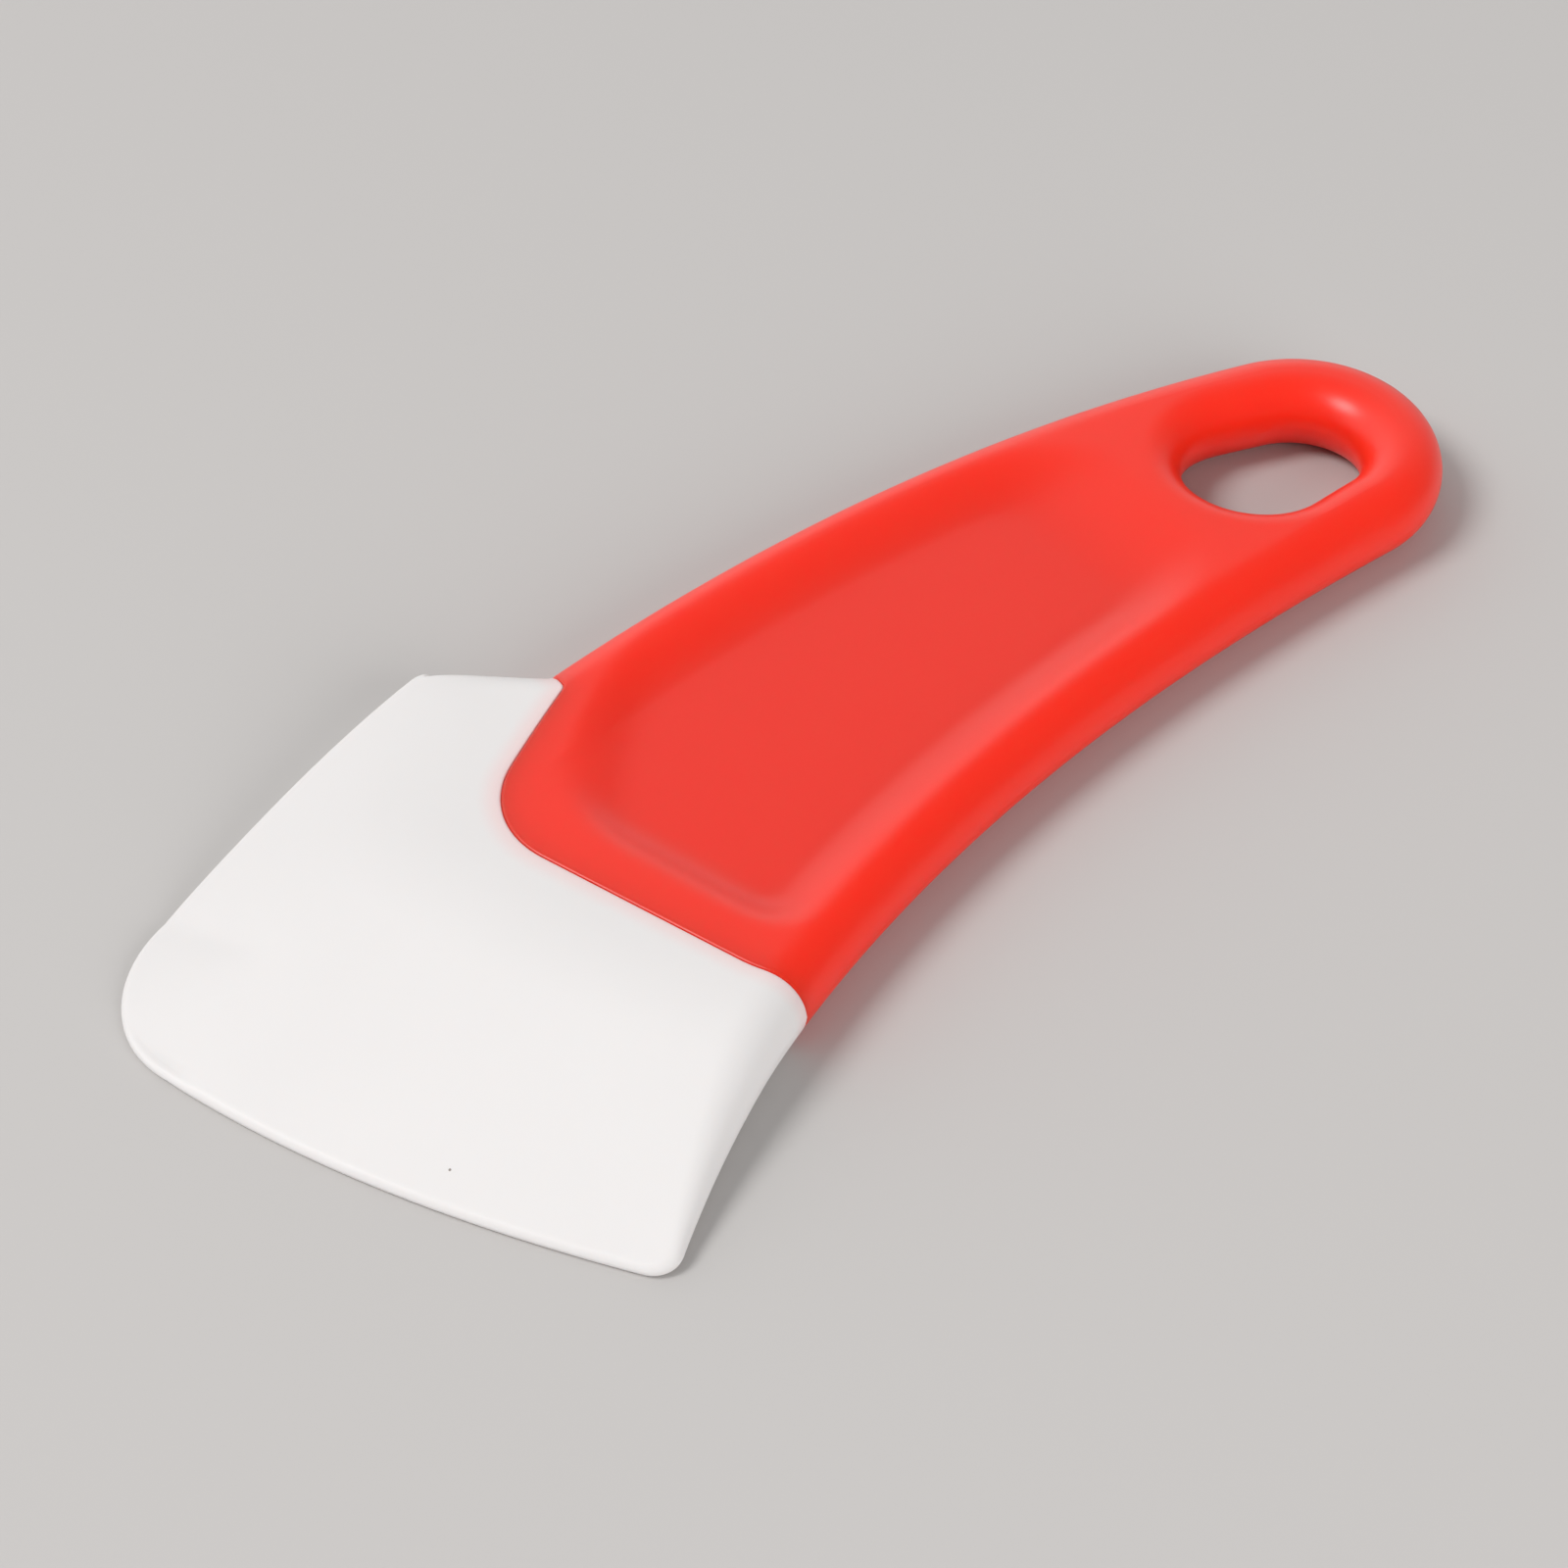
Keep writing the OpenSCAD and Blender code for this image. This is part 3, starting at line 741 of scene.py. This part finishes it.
        cells = [(grip_i(r, c), grip_i(r, c + 1), grip_i(r + 1, c + 1), grip_i(r + 1, c))
                 for r in range(row_n - 1) for c in range(col_n - 1)]
        cells += [(ring_i(k, i), ring_i(k, i + 1), ring_i(k + 1, i + 1), ring_i(k + 1, i))
                  for k in range(last) for i in range(ray_n)]
        border = [grip_i(r, 0) for r in range(row_n)]
        border += [grip_i(row_n - 1, c) for c in range(1, col_n)]
        border += [grip_i(r, col_n - 1) for r in range(row_n - 2, -1, -1)]
        border += [ring_i(last, i) for i in range(col_n, ray_n)]
        hole = [ring_i(0, i) for i in range(ray_n - 1, -1, -1)]
        rim = np.minimum(self.from_side(places), self.from_hole(places)) * MM
        tray = self.tray_share(places)
        seam = distance_to(places, self.tongue_edge()) * MM
        values = {Layer.RIM: (rim, rim), Layer.TRAY: (tray, tray), Layer.SEAM: (seam, seam)}
        return PlanMesh(places, cells, [border, hole], values)


@dataclass(frozen=True)
class BladePlan:
    """The blade's plan in millimetres and degrees: its outline, its bevels and its edges."""

    handle: HandlePlan
    blade_l: float = 41.1
    shoulder_w: float = 11.6
    shoulder_angle: float = 52.0
    shoulder_corner_r: float = 2.6
    far_flare: float = 5.0
    far_corner_r: float = 15.0
    front_edge_r: float = 176.0
    front_apex_t: float = 1.0
    near_corner_r: float = 3.6
    near_flare: float = 8.4
    near_flare_l: float = 34.0
    lip_t: float = 1.4
    front_bevel: float = 31.5
    far_bevel: float = 15.0
    far_edge_h: float = 9.1
    far_edge_power: float = 1.3
    edge_r: float = 1.2
    crease_blend: float = 1.5
    bevel_bow: float = 0.0005
    rim_fade: float = 13.0
    far_bevel_power: float = 4.0
    edge_grow: float = 4.0
    bow_from: float = 1 / 3
    match_power: float = 4.0
    seam_shares: tuple[float, ...] = (0.0, 0.001, 0.003, 0.006, 0.011)
    seam_part: float = 1 / 3
    blade_rows: int = 48
    edge_rows: int = 8
    corner_steps: int = 20
    small_steps: int = 8

    @property
    def shoulder_way(self) -> np.ndarray:
        """Direction of the shoulder, away from the handle."""
        return heading(-self.shoulder_angle)

    @property
    def shoulder_tip(self) -> np.ndarray:
        """The corner between the shoulder and the far side."""
        length = self.shoulder_w / math.sin(math.radians(self.shoulder_angle))
        return self.handle.cut_start + self.shoulder_way * length

    @property
    def shoulder_centre(self) -> np.ndarray:
        """Centre of the rounded corner between the shoulder and the far side.

        Returns:
            Its place in the plan.
        """
        half = (180 - self.shoulder_angle + self.far_flare) / 2
        reach = self.shoulder_corner_r / math.sin(math.radians(half))
        return self.shoulder_tip + reach * heading(half - self.far_flare)

    @property
    def front_centre(self) -> np.ndarray:
        """Centre of the bowed front edge."""
        return np.array([self.handle.front_s + self.blade_l - self.front_edge_r,
                         self.front_apex_t])

    @property
    def far_centre(self) -> np.ndarray:
        """Centre of the large far front corner.

        Returns:
            Its place in the plan.
        """
        start = self.shoulder_tip + self.far_corner_r * heading(90 - self.far_flare)
        return leave_circle(start, heading(-self.far_flare), self.front_centre,
                            self.front_edge_r - self.far_corner_r)

    def near_t(self, s: np.ndarray) -> np.ndarray:
        """Lateral position of the blade's near side.

        Args:
            s: places along the axis.

        Returns:
            The side's position at each.
        """
        x = s - self.handle.front_s
        grown = np.minimum(x, self.near_flare_l)
        slope = math.tan(math.radians(self.handle.front_flare))
        gain = math.tan(math.radians(self.near_flare)) - slope
        spread = grown ** 2 / (2 * self.near_flare_l) + np.maximum(0, x - self.near_flare_l)
        return float(self.handle.half_w(self.handle.front_s)) + slope * x + gain * spread

    @property
    def near_centre(self) -> np.ndarray:
        """Centre of the small near front corner.

        Returns:
            Its place in the plan.
        """
        s = self.handle.front_s + self.near_flare_l
        start = np.array([s, float(self.near_t(s))])
        start = start + self.near_corner_r * heading(self.near_flare - 90)
        return leave_circle(start, heading(self.near_flare), self.front_centre,
                            self.front_edge_r - self.near_corner_r)

    def outline(self, steps: int) -> np.ndarray:
        """The outline from the shoulder's corner round to the near front corner.

        Args:
            steps: how many steps it has in all.

        Returns:
            Its points.
        """
        far_c, near_c, front_c = self.far_centre, self.near_centre, self.front_centre
        far_turn, near_turn = bearing(far_c - front_c), bearing(near_c - front_c)
        far_start = far_c - self.far_corner_r * heading(90 - self.far_flare)
        corner = rounded(self.handle.cut_start, self.shoulder_tip, far_start,
                         self.shoulder_corner_r, self.small_steps)
        rest = steps - self.small_steps - 2 * self.corner_steps - self.handle.rim_steps
        return np.concatenate([
            corner,
            line(corner[-1], far_start, self.corner_steps)[1:],
            arc(far_c, self.far_corner_r, -90 - self.far_flare, far_turn,
                self.corner_steps)[1:],
            arc(front_c, self.front_edge_r, far_turn, near_turn, rest)[1:],
            arc(near_c, self.near_corner_r, near_turn, 90 + self.near_flare,
                self.handle.rim_steps)[1:],
        ])

    def from_far(self, p: np.ndarray) -> np.ndarray:
        """Distance of places from the far side and its large corner.

        Args:
            p: places in the plan, one a row.

        Returns:
            One distance a place.
        """
        along = (p - self.far_centre) @ heading(-self.far_flare)
        out = -(p - self.far_centre) @ heading(90 - self.far_flare)
        reach = np.hypot(np.maximum(0, along), np.maximum(0, out))
        return self.far_corner_r - reach - np.minimum(0, out)

    def from_front_near(self, p: np.ndarray) -> tuple[np.ndarray, np.ndarray]:
        """Distances of places from the front edge and from the near side.

        Args:
            p: places in the plan, one a row.

        Returns:
            The two distances of each place.
        """
        q = p - self.near_centre
        corner = (q @ heading(self.near_flare) > 0) & (q @ heading(self.near_flare - 90) < 0)
        round_gap = self.near_corner_r - np.linalg.norm(q, axis=1)
        front = self.front_edge_r - np.linalg.norm(p - self.front_centre, axis=1)
        near = self.near_t(p[:, 0]) - p[:, 1]
        return np.where(corner, round_gap, front), np.where(corner, round_gap, near)

    def soft_min(self, a: np.ndarray, b: np.ndarray) -> np.ndarray:
        """The lower of two heights, blended at the crease between them."""
        near = np.maximum(0, self.crease_blend - np.abs(a - b))
        return np.minimum(a, b) - near ** 2 / (4 * self.crease_blend)

    def height(self, p: np.ndarray) -> np.ndarray:
        """Height of the blade's top before its edges are rounded.

        Args:
            p: places in the plan, one a row.

        Returns:
            One height a place.
        """
        full = self.handle.thickness
        x = self.front_edge_r - np.linalg.norm(p - self.front_centre, axis=1)
        front = (self.lip_t + (full - self.lip_t) * x / self.front_bevel
                 + self.bevel_bow * x * (self.front_bevel - x))
        way = heading(-self.far_flare)
        along = (p - self.shoulder_tip) @ way / ((self.far_centre - self.shoulder_tip) @ way)
        y = np.clip(along, 0, 1)
        far_h = self.lip_t + (self.far_edge_h - self.lip_t) * (1 - y ** self.far_edge_power)
        far_w = self.far_bevel + (self.front_bevel - self.far_bevel) * y ** self.far_bevel_power
        far = far_h + (full - far_h) * self.from_far(p) / far_w
        land = np.full(len(p), full)
        return np.maximum(self.lip_t, self.soft_min(land, self.soft_min(front, far)))

    def edge_fall(self, p: np.ndarray) -> np.ndarray:
        """How far the top and the underside have fallen near the blade's edges.

        Args:
            p: places in the plan, one a row.

        Returns:
            One fall a place.
        """
        h = self.height(p)
        rim_r = self.handle.rim_r
        thin_r = min(self.edge_r, self.lip_t / 2)
        q = p - self.handle.cut_start
        faded = np.clip(q @ self.shoulder_way / self.rim_fade, 0, 1)
        shoulder_r = rim_r + (self.edge_r - rim_r) * faded
        far_r = thin_r + (self.edge_r - thin_r) * smooth((h - self.lip_t) / self.edge_grow)
        c = p - self.shoulder_centre
        turned = (c @ self.shoulder_way > 0) & (c @ heading(-self.far_flare) < 0)
        corner_gap = self.shoulder_corner_r - np.linalg.norm(c, axis=1)
        front, near = self.from_front_near(p)
        falls = np.stack([
            fall(np.where(turned, corner_gap, q @ heading(90 - self.shoulder_angle)), shoulder_r),
            fall(np.where(turned, corner_gap, self.from_far(p)), far_r),
            fall(front, np.full(len(p), thin_r)),
            fall(near, np.minimum(rim_r, h / 2)),
        ])
        return np.minimum((h - self.handle.parting_band) / 2, falls.max(axis=0))

    def plan(self) -> PlanMesh:
        """The blade as one shell: rows from the tongue's edge out to the blade's outline.

        Returns:
            The plan with the heights of its two faces.
        """
        edge = self.handle.tongue_edge()
        last = len(edge) - 1
        outline = self.outline(last)
        way = outline[2:] - outline[:-2]
        inner = np.stack([-way[:, 1], way[:, 0]], axis=1)
        inner /= np.linalg.norm(inner, axis=1)[:, None]
        inner = np.concatenate([[-self.shoulder_way], inner, [-heading(self.near_flare)]])
        turn = smooth((np.arange(last + 1) - last) / self.handle.rim_steps + 1)[:, None]
        inner = inner * (1 - turn) - heading(self.near_flare) * turn
        inward = self.edge_r * inner / np.linalg.norm(inner, axis=1)[:, None]
        shares = np.concatenate([self.seam_shares, np.linspace(0, 1, self.blade_rows + 1)[1:]])
        rows = []
        weight = smooth((np.arange(last + 1) / last - self.bow_from) / (1 - self.bow_from))
        for v in shares:
            row = edge + (outline + inward - edge) * v
            bow = float(self.near_t(row[-1, 0])) - row[-1, 1]
            rows.append(row + np.outer(weight, [0, bow]))
        for k in range(1, self.edge_rows + 1):
            rows.append(outline + inward * (1 - math.sin(math.pi / 2 * k / self.edge_rows)))
        places = np.concatenate(rows)
        row_n, col_n = len(rows), last + 1
        match = 1 - np.minimum(1, np.arange(row_n) / (len(shares) - 1))
        match = np.repeat(match ** self.match_power, col_n)
        down = self.edge_fall(places)
        top = self.height(places) - down
        rim = fall(self.handle.from_side(edge), np.full(col_n, self.handle.rim_r))
        rim = np.minimum(rim, self.handle.rim_r - self.handle.parting_band / 2)
        top_gain = np.tile(self.handle.thickness - rim - top[:col_n], row_n)
        under_gain = np.tile(rim - down[:col_n], row_n)
        seam_gap = distance_to(places, edge)
        seam = fall(seam_gap, np.full(len(places), self.handle.seam_r))
        seam = np.minimum(seam, (top - down) * self.seam_part)
        top = np.minimum(self.handle.thickness, top + match * top_gain) - seam
        under = np.maximum(0, down + match * under_gain) + seam
        cells = [(k * col_n + i, k * col_n + i + 1, (k + 1) * col_n + i + 1, (k + 1) * col_n + i)
                 for k in range(row_n - 1) for i in range(last)]
        border = [k * col_n for k in range(row_n)]
        border += [(row_n - 1) * col_n + i for i in range(1, col_n)]
        border += [k * col_n + last for k in range(row_n - 2, -1, -1)]
        border += list(range(last - 1, 0, -1))
        values = {Layer.HEIGHT: (under * MM, top * MM), Layer.SEAM: (seam_gap * MM, seam_gap * MM)}
        return PlanMesh(places, cells, [border], values)


@dataclass
class FormTree:
    """A Geometry Nodes tree that gives a plan its height and lays it on the curved axis."""

    name: str
    sizes: dict[str, float]
    sharp_angle: float = 45.0
    tree: bpy.types.NodeTree = field(init=False)
    source: bpy.types.Node = field(init=False)

    def __post_init__(self) -> None:
        """Opens the tree with its geometry, its named sizes and its material."""
        self.tree = bpy.data.node_groups.new(self.name, "GeometryNodeTree")
        face = self.tree.interface
        face.new_socket("Geometry", in_out="INPUT", socket_type="NodeSocketGeometry")
        for size in self.sizes:
            face.new_socket(size, in_out="INPUT", socket_type="NodeSocketFloat")
        face.new_socket("Material", in_out="INPUT", socket_type="NodeSocketMaterial")
        face.new_socket("Geometry", in_out="OUTPUT", socket_type="NodeSocketGeometry")
        self.source = self.tree.nodes.new("NodeGroupInput")

    def math(self, operation: str, *terms: bpy.types.NodeSocket | float) -> bpy.types.NodeSocket:
        """A number worked out from sockets and constants.

        Args:
            operation: the Math node's operation.
            *terms: its inputs, sockets or constants.

        Returns:
            The socket with the result.
        """
        node = add_node(self.tree, "ShaderNodeMath", operation=operation)
        for i, term in enumerate(terms):
            if isinstance(term, bpy.types.NodeSocket):
                self.tree.links.new(term, node.inputs[i])
            else:
                node.inputs[i].default_value = term
        return node.outputs[0]

    def size(self, name: str) -> bpy.types.NodeSocket:
        """One of the tree's named sizes."""
        return self.source.outputs[name]

    def value(self, layer: Layer) -> bpy.types.NodeSocket:
        """One of the plan's layers."""
        node = add_node(self.tree, "GeometryNodeInputNamedAttribute",
                        values={"Name": layer.value}, data_type="FLOAT")
        return node.outputs["Attribute"]

    def fallen(self, gap: bpy.types.NodeSocket, radius: bpy.types.NodeSocket
               ) -> bpy.types.NodeSocket:
        """How far a rounded edge has fallen at a distance inside it.

        Args:
            gap: the distance from the edge.
            radius: the rounding's radius.

        Returns:
            The socket with the fall.
        """
        share = self.math("MINIMUM", self.math("DIVIDE", gap, radius), 1.0)
        q = self.math("SUBTRACT", 1.0, self.math("MAXIMUM", share, 0.0))
        root = self.math("SQRT", self.math("SUBTRACT", 1.0, self.math("MULTIPLY", q, q)))
        return self.math("MULTIPLY", radius, self.math("SUBTRACT", 1.0, root))

    def close(self, height: bpy.types.NodeSocket) -> None:
        """Lays the plan on the curved axis at its height, and ends the tree.

        Args:
            height: the socket that holds each point's height.
        """
        place = add_node(self.tree, "ShaderNodeSeparateXYZ", {
            0: self.tree.nodes.new("GeometryNodeInputPosition").outputs[0]})
        angle = self.math("DIVIDE", place.outputs["X"], self.size("Bend radius"))
        reach = self.math("SUBTRACT", self.size("Bend radius"), place.outputs["Y"])
        along = self.math("MULTIPLY", reach, self.math("SINE", angle))
        over = self.math("MULTIPLY", reach, self.math("COSINE", angle))
        x = self.math("SUBTRACT", along, self.size("Middle X"))
        y = self.math("SUBTRACT", self.math("SUBTRACT", self.size("Bend radius"), over),
                      self.size("Middle Y"))
        bent = add_node(self.tree, "ShaderNodeCombineXYZ", {0: x, 1: y, 2: height})
        moved = add_node(self.tree, "GeometryNodeSetPosition", {
            "Geometry": self.source.outputs["Geometry"], "Position": bent.outputs[0]})
        real = add_node(self.tree, "GeometryNodeRealizeInstances", {0: moved.outputs[0]})
        dressed = add_node(self.tree, "GeometryNodeSetMaterial", {
            "Geometry": real.outputs[0], "Material": self.source.outputs["Material"]})
        end = self.tree.nodes.new("NodeGroupOutput")
        self.tree.links.new(dressed.outputs[0], end.inputs[0])

    def apply(self, piece: bpy.types.Object, material: bpy.types.Material) -> bpy.types.Object:
        """Runs the tree on a plan and keeps the result as a plain mesh.

        Args:
            piece: the object that holds the plan.
            material: its finish.

        Returns:
            The same object with its final mesh and no modifier.
        """
        modifier = piece.modifiers.new(self.name, "NODES")
        modifier.node_group = self.tree
        for item in self.tree.interface.items_tree:
            if item.in_out == "INPUT" and item.name in self.sizes:
                modifier[item.identifier] = self.sizes[item.name] * MM
            if item.in_out == "INPUT" and item.name == "Material":
                modifier[item.identifier] = material
        shaped = piece.evaluated_get(bpy.context.evaluated_depsgraph_get())
        mesh = bpy.data.meshes.new_from_object(shaped)
        piece.modifiers.remove(modifier)
        piece.data = mesh
        for layer in Layer:
            if layer not in FINISH_LAYERS and layer.value in mesh.attributes:
                mesh.attributes.remove(mesh.attributes[layer.value])
        mesh.shade_smooth()
        mesh.set_sharp_from_angle(angle=math.radians(self.sharp_angle))
        return piece


@dataclass
class Scraper:
    """The whole object: the handle, the blade and the core plate sealed between them."""

    handle: HandlePlan = field(default_factory=HandlePlan)
    body: str = "root"
    side_places: int = 200

    @property
    def blade(self) -> BladePlan:
        """The blade that fits this handle."""
        return BladePlan(self.handle)

    def middle(self) -> tuple[float, float]:
        """The middle of the whole outline on the curved axis, which is the frame's origin.

        Returns:
            Its two coordinates in millimetres.
        """
        steps = len(self.handle.tongue_edge()) - 1
        s = np.linspace(self.handle.grip_s, self.handle.front_s, self.side_places)
        near = np.stack([s, self.handle.half_w(s)], axis=1)
        far = near[s < self.handle.shoulder_s] * [1, -1]
        plan = np.concatenate([self.handle.ring_outline(), near, far, self.blade.outline(steps)])
        r = self.handle.bend_r
        x = (r - plan[:, 1]) * np.sin(plan[:, 0] / r)
        y = r - (r - plan[:, 1]) * np.cos(plan[:, 0] / r)
        return (x.min() + x.max()) / 2, (y.min() + y.max()) / 2

    def base_sizes(self) -> dict[str, float]:
        """The sizes that both trees share."""
        x, y = self.middle()
        return {"Bend radius": self.handle.bend_r, "Middle X": x, "Middle Y": y}

    def build_handle(self, material: bpy.types.Material) -> bpy.types.Object:
        """Shapes the handle: a round rim, a tray on each face and a fine edge at the seam.

        Args:
            material: its finish.

        Returns:
            The finished piece.
        """
        sizes = {"Rim radius": self.handle.rim_r, "Tray depth": self.handle.tray_depth,
                 "Seam radius": self.handle.seam_r, "Parting half": self.handle.parting_band / 2,
                 **self.base_sizes()}
        form = FormTree("handle_form", sizes)
        rim = form.fallen(form.value(Layer.RIM), form.size("Rim radius"))
        seam = form.fallen(form.value(Layer.SEAM), form.size("Seam radius"))
        tray = form.math("MULTIPLY", form.size("Tray depth"), form.value(Layer.TRAY))
        half = form.math("SUBTRACT", form.size("Rim radius"), form.math("ADD", rim, tray))
        half = form.math("SUBTRACT", half, seam)
        half = form.math("MAXIMUM", half, form.size("Parting half"))
        offset = form.math("MULTIPLY", half, form.value(Layer.SIDE))
        form.close(form.math("ADD", form.size("Rim radius"), offset))
        return form.apply(self.handle.plan().build("handle_body"), material)

    def build_blade(self, material: bpy.types.Material) -> bpy.types.Object:
        """Shapes the blade: flush with the tongue, bevelled towards its front and far edges.

        Args:
            material: its finish.

        Returns:
            The finished piece.
        """
        form = FormTree("blade_form", self.base_sizes())
        form.close(form.value(Layer.HEIGHT))
        return form.apply(self.blade.plan().build("blade_body"), material)

    def build(self) -> None:
        """Builds the pieces, dresses them and ties them to the frame."""
        red = MouldedPolypropylene("red_polypropylene_spark_eroded", colour="#f42e17",
                                   roughness=0.36, ior=1.5)
        white = MouldedSilicone("white_silicone_moulded", colour="#e3e0df", roughness=0.5,
                                ior=1.41)
        nylon = MouldedNylon("natural_nylon_moulded", colour="#d8d2c0", roughness=0.55,
                             ior=1.53)
        pieces = [
            (self.build_handle(red.material()), "handle", "handle_shell"),
            (self.build_blade(white.material()), "blade", "soft_blade"),
        ]
        for piece, node, slot in pieces:
            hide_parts(node)
            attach(piece, self.body)
            log.info("%s: %d faces", piece.name, len(piece.data.polygons))
        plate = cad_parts["core_plate"]
        plate.data.materials.clear()
        plate.data.materials.append(nylon.material())
        log.info("%s: carried over with its own finish", plate.name)


@dataclass(frozen=True)
class Studio:
    """The plain floor, the soft light and the camera of a product photograph.

    Angles are degrees, and lengths are metres where their name doesn't say millimetres.
    """

    azimuth: float = 132.937
    elevation: float = 44.42
    distance_mm: float = 399.6
    target_mm: tuple[float, float] = (11.52, -1.19)
    view_angle: float = 26.0
    near_clip: float = 0.01
    floor_colour: str = "#c3c0be"
    floor_size: float = 4.0
    floor_drop_mm: float = 0.05
    floor_roughness: float = 0.9
    floor_shine: float = 0.2
    key_way: tuple[float, float, float] = (0.631, -0.458, 1.0)
    lamp_distance: float = 2.2
    key_size: float = 0.93
    key_power: float = 26.6
    fill_way: tuple[float, float, float] = (0.2, 0.9, 0.35)
    fill_size: float = 1.7
    fill_power: float = 33.0
    backdrop: str = "#ffffff"
    room: str = "#7c7c7c"
    backdrop_turn: float = 32.0
    backdrop_edge: tuple[float, float] = (-0.1, 0.6)
    dark_lean: float = 37.0
    dark_edge: tuple[float, float] = (0.2, 0.95)
    sky_level: float = 1.12

    def camera(self) -> None:
        """Puts the camera where the photograph was taken from."""
        a, e = math.radians(self.azimuth), math.radians(self.elevation)
        back = Vector((math.sin(a) * math.cos(e), -math.cos(a) * math.cos(e), math.sin(e)))
        target = Vector((self.target_mm[0] * MM, self.target_mm[1] * MM, 0.0))
        data = bpy.data.cameras.new("camera")
        data.sensor_fit = "HORIZONTAL"
        data.angle = math.radians(self.view_angle)
        data.clip_start = self.near_clip
        camera = bpy.data.objects.new("camera", data)
        camera.location = target + back * self.distance_mm * MM
        camera.rotation_euler = back.to_track_quat("Z", "Y").to_euler()
        bpy.context.scene.collection.objects.link(camera)
        bpy.context.scene.camera = camera

    def floor(self) -> None:
        """Lays the plain pale floor just under the object."""
        half = self.floor_size / 2
        mesh = bpy.data.meshes.new("floor")
        z = -self.floor_drop_mm * MM
        mesh.from_pydata([(-half, -half, z), (half, -half, z), (half, half, z),
                          (-half, half, z)], [], [(0, 1, 2, 3)])
        floor = bpy.data.objects.new("floor", mesh)
        bpy.context.scene.collection.objects.link(floor)
        # Uncoated paper: no highlight, only the object's soft shadow
        material = bpy.data.materials.new("matt_paper_sweep")
        material.use_nodes = True
        shader = material.node_tree.nodes["Principled BSDF"]
        shader.inputs["Base Color"].default_value = linear(self.floor_colour)
        shader.inputs["Roughness"].default_value = self.floor_roughness
        shader.inputs["Specular IOR Level"].default_value = self.floor_shine
        mesh.materials.append(material)

    def soft_box(self, name: str, way: tuple[float, float, float], size: float,
                 power: float, glossy: bool = True) -> None:
        """Hangs a round soft box that points at the object.

        Args:
            name: the lamp's name.
            way: the direction from the object to it.
            size: its diameter in metres.
            power: its power in watts.
            glossy: whether it shows as a highlight.
        """
        data = bpy.data.lights.new(name, "AREA")
        data.shape = "DISK"
        data.size = size
        data.energy = power
        lamp = bpy.data.objects.new(name, data)
        lamp.visible_glossy = glossy
        back = Vector(way).normalized()
        lamp.location = back * self.lamp_distance
        lamp.rotation_euler = back.to_track_quat("Z", "Y").to_euler()
        bpy.context.scene.collection.objects.link(lamp)

    def sky(self) -> None:
        """Surrounds the object with a room: pale behind it, grey in front and overhead."""
        world = bpy.data.worlds.new("studio_room")
        world.use_nodes = True
        tree = world.node_tree
        tree.nodes.clear()
        way = add_node(tree, "ShaderNodeTexCoord").outputs["Generated"]
        b, lean = math.radians(self.azimuth), math.radians(self.dark_lean)
        dark = (math.sin(lean) * math.cos(b), math.sin(lean) * math.sin(b), math.cos(lean))
        above = add_node(tree, "ShaderNodeVectorMath", {0: way}, {1: dark},
                         operation="DOT_PRODUCT")
        a = math.radians(self.azimuth + self.backdrop_turn)
        behind = add_node(tree, "ShaderNodeVectorMath", {0: way},
                          {1: (-math.sin(a), math.cos(a), 0.0)}, operation="DOT_PRODUCT")
        low = add_node(tree, "ShaderNodeMapRange", {"Value": above.outputs["Value"]},
                       {"From Min": self.dark_edge[0], "From Max": self.dark_edge[1],
                        "To Min": 1.0, "To Max": 0.0})
        facing = add_node(tree, "ShaderNodeMapRange", {"Value": behind.outputs["Value"]},
                          {"From Min": self.backdrop_edge[0],
                           "From Max": self.backdrop_edge[1]})
        share = add_node(tree, "ShaderNodeMath", {0: low.outputs[0], 1: facing.outputs[0]},
                         operation="MULTIPLY")
        mix = add_node(tree, "ShaderNodeMix", {"Factor": share.outputs[0]},
                       {6: linear(self.room), 7: linear(self.backdrop)}, data_type="RGBA")
        glow = add_node(tree, "ShaderNodeBackground", {"Color": mix.outputs[2]},
                        {"Strength": self.sky_level})
        add_node(tree, "ShaderNodeOutputWorld", {"Surface": glow.outputs[0]})
        bpy.context.scene.world = world

    def set_up(self) -> None:
        """Sets up everything round the object."""
        bpy.context.scene.view_settings.view_transform = "Standard"
        self.camera()
        self.floor()
        self.soft_box("key_soft_box", self.key_way, self.key_size, self.key_power)
        self.soft_box("fill_soft_box", self.fill_way, self.fill_size, self.fill_power,
                      glossy=False)
        self.sky()


def main() -> None:
    """Builds the object and its studio."""
    logging.basicConfig(level=logging.INFO, format="%(message)s")
    Studio().set_up()
    Scraper().build()


if __name__ == "__main__":
    main()
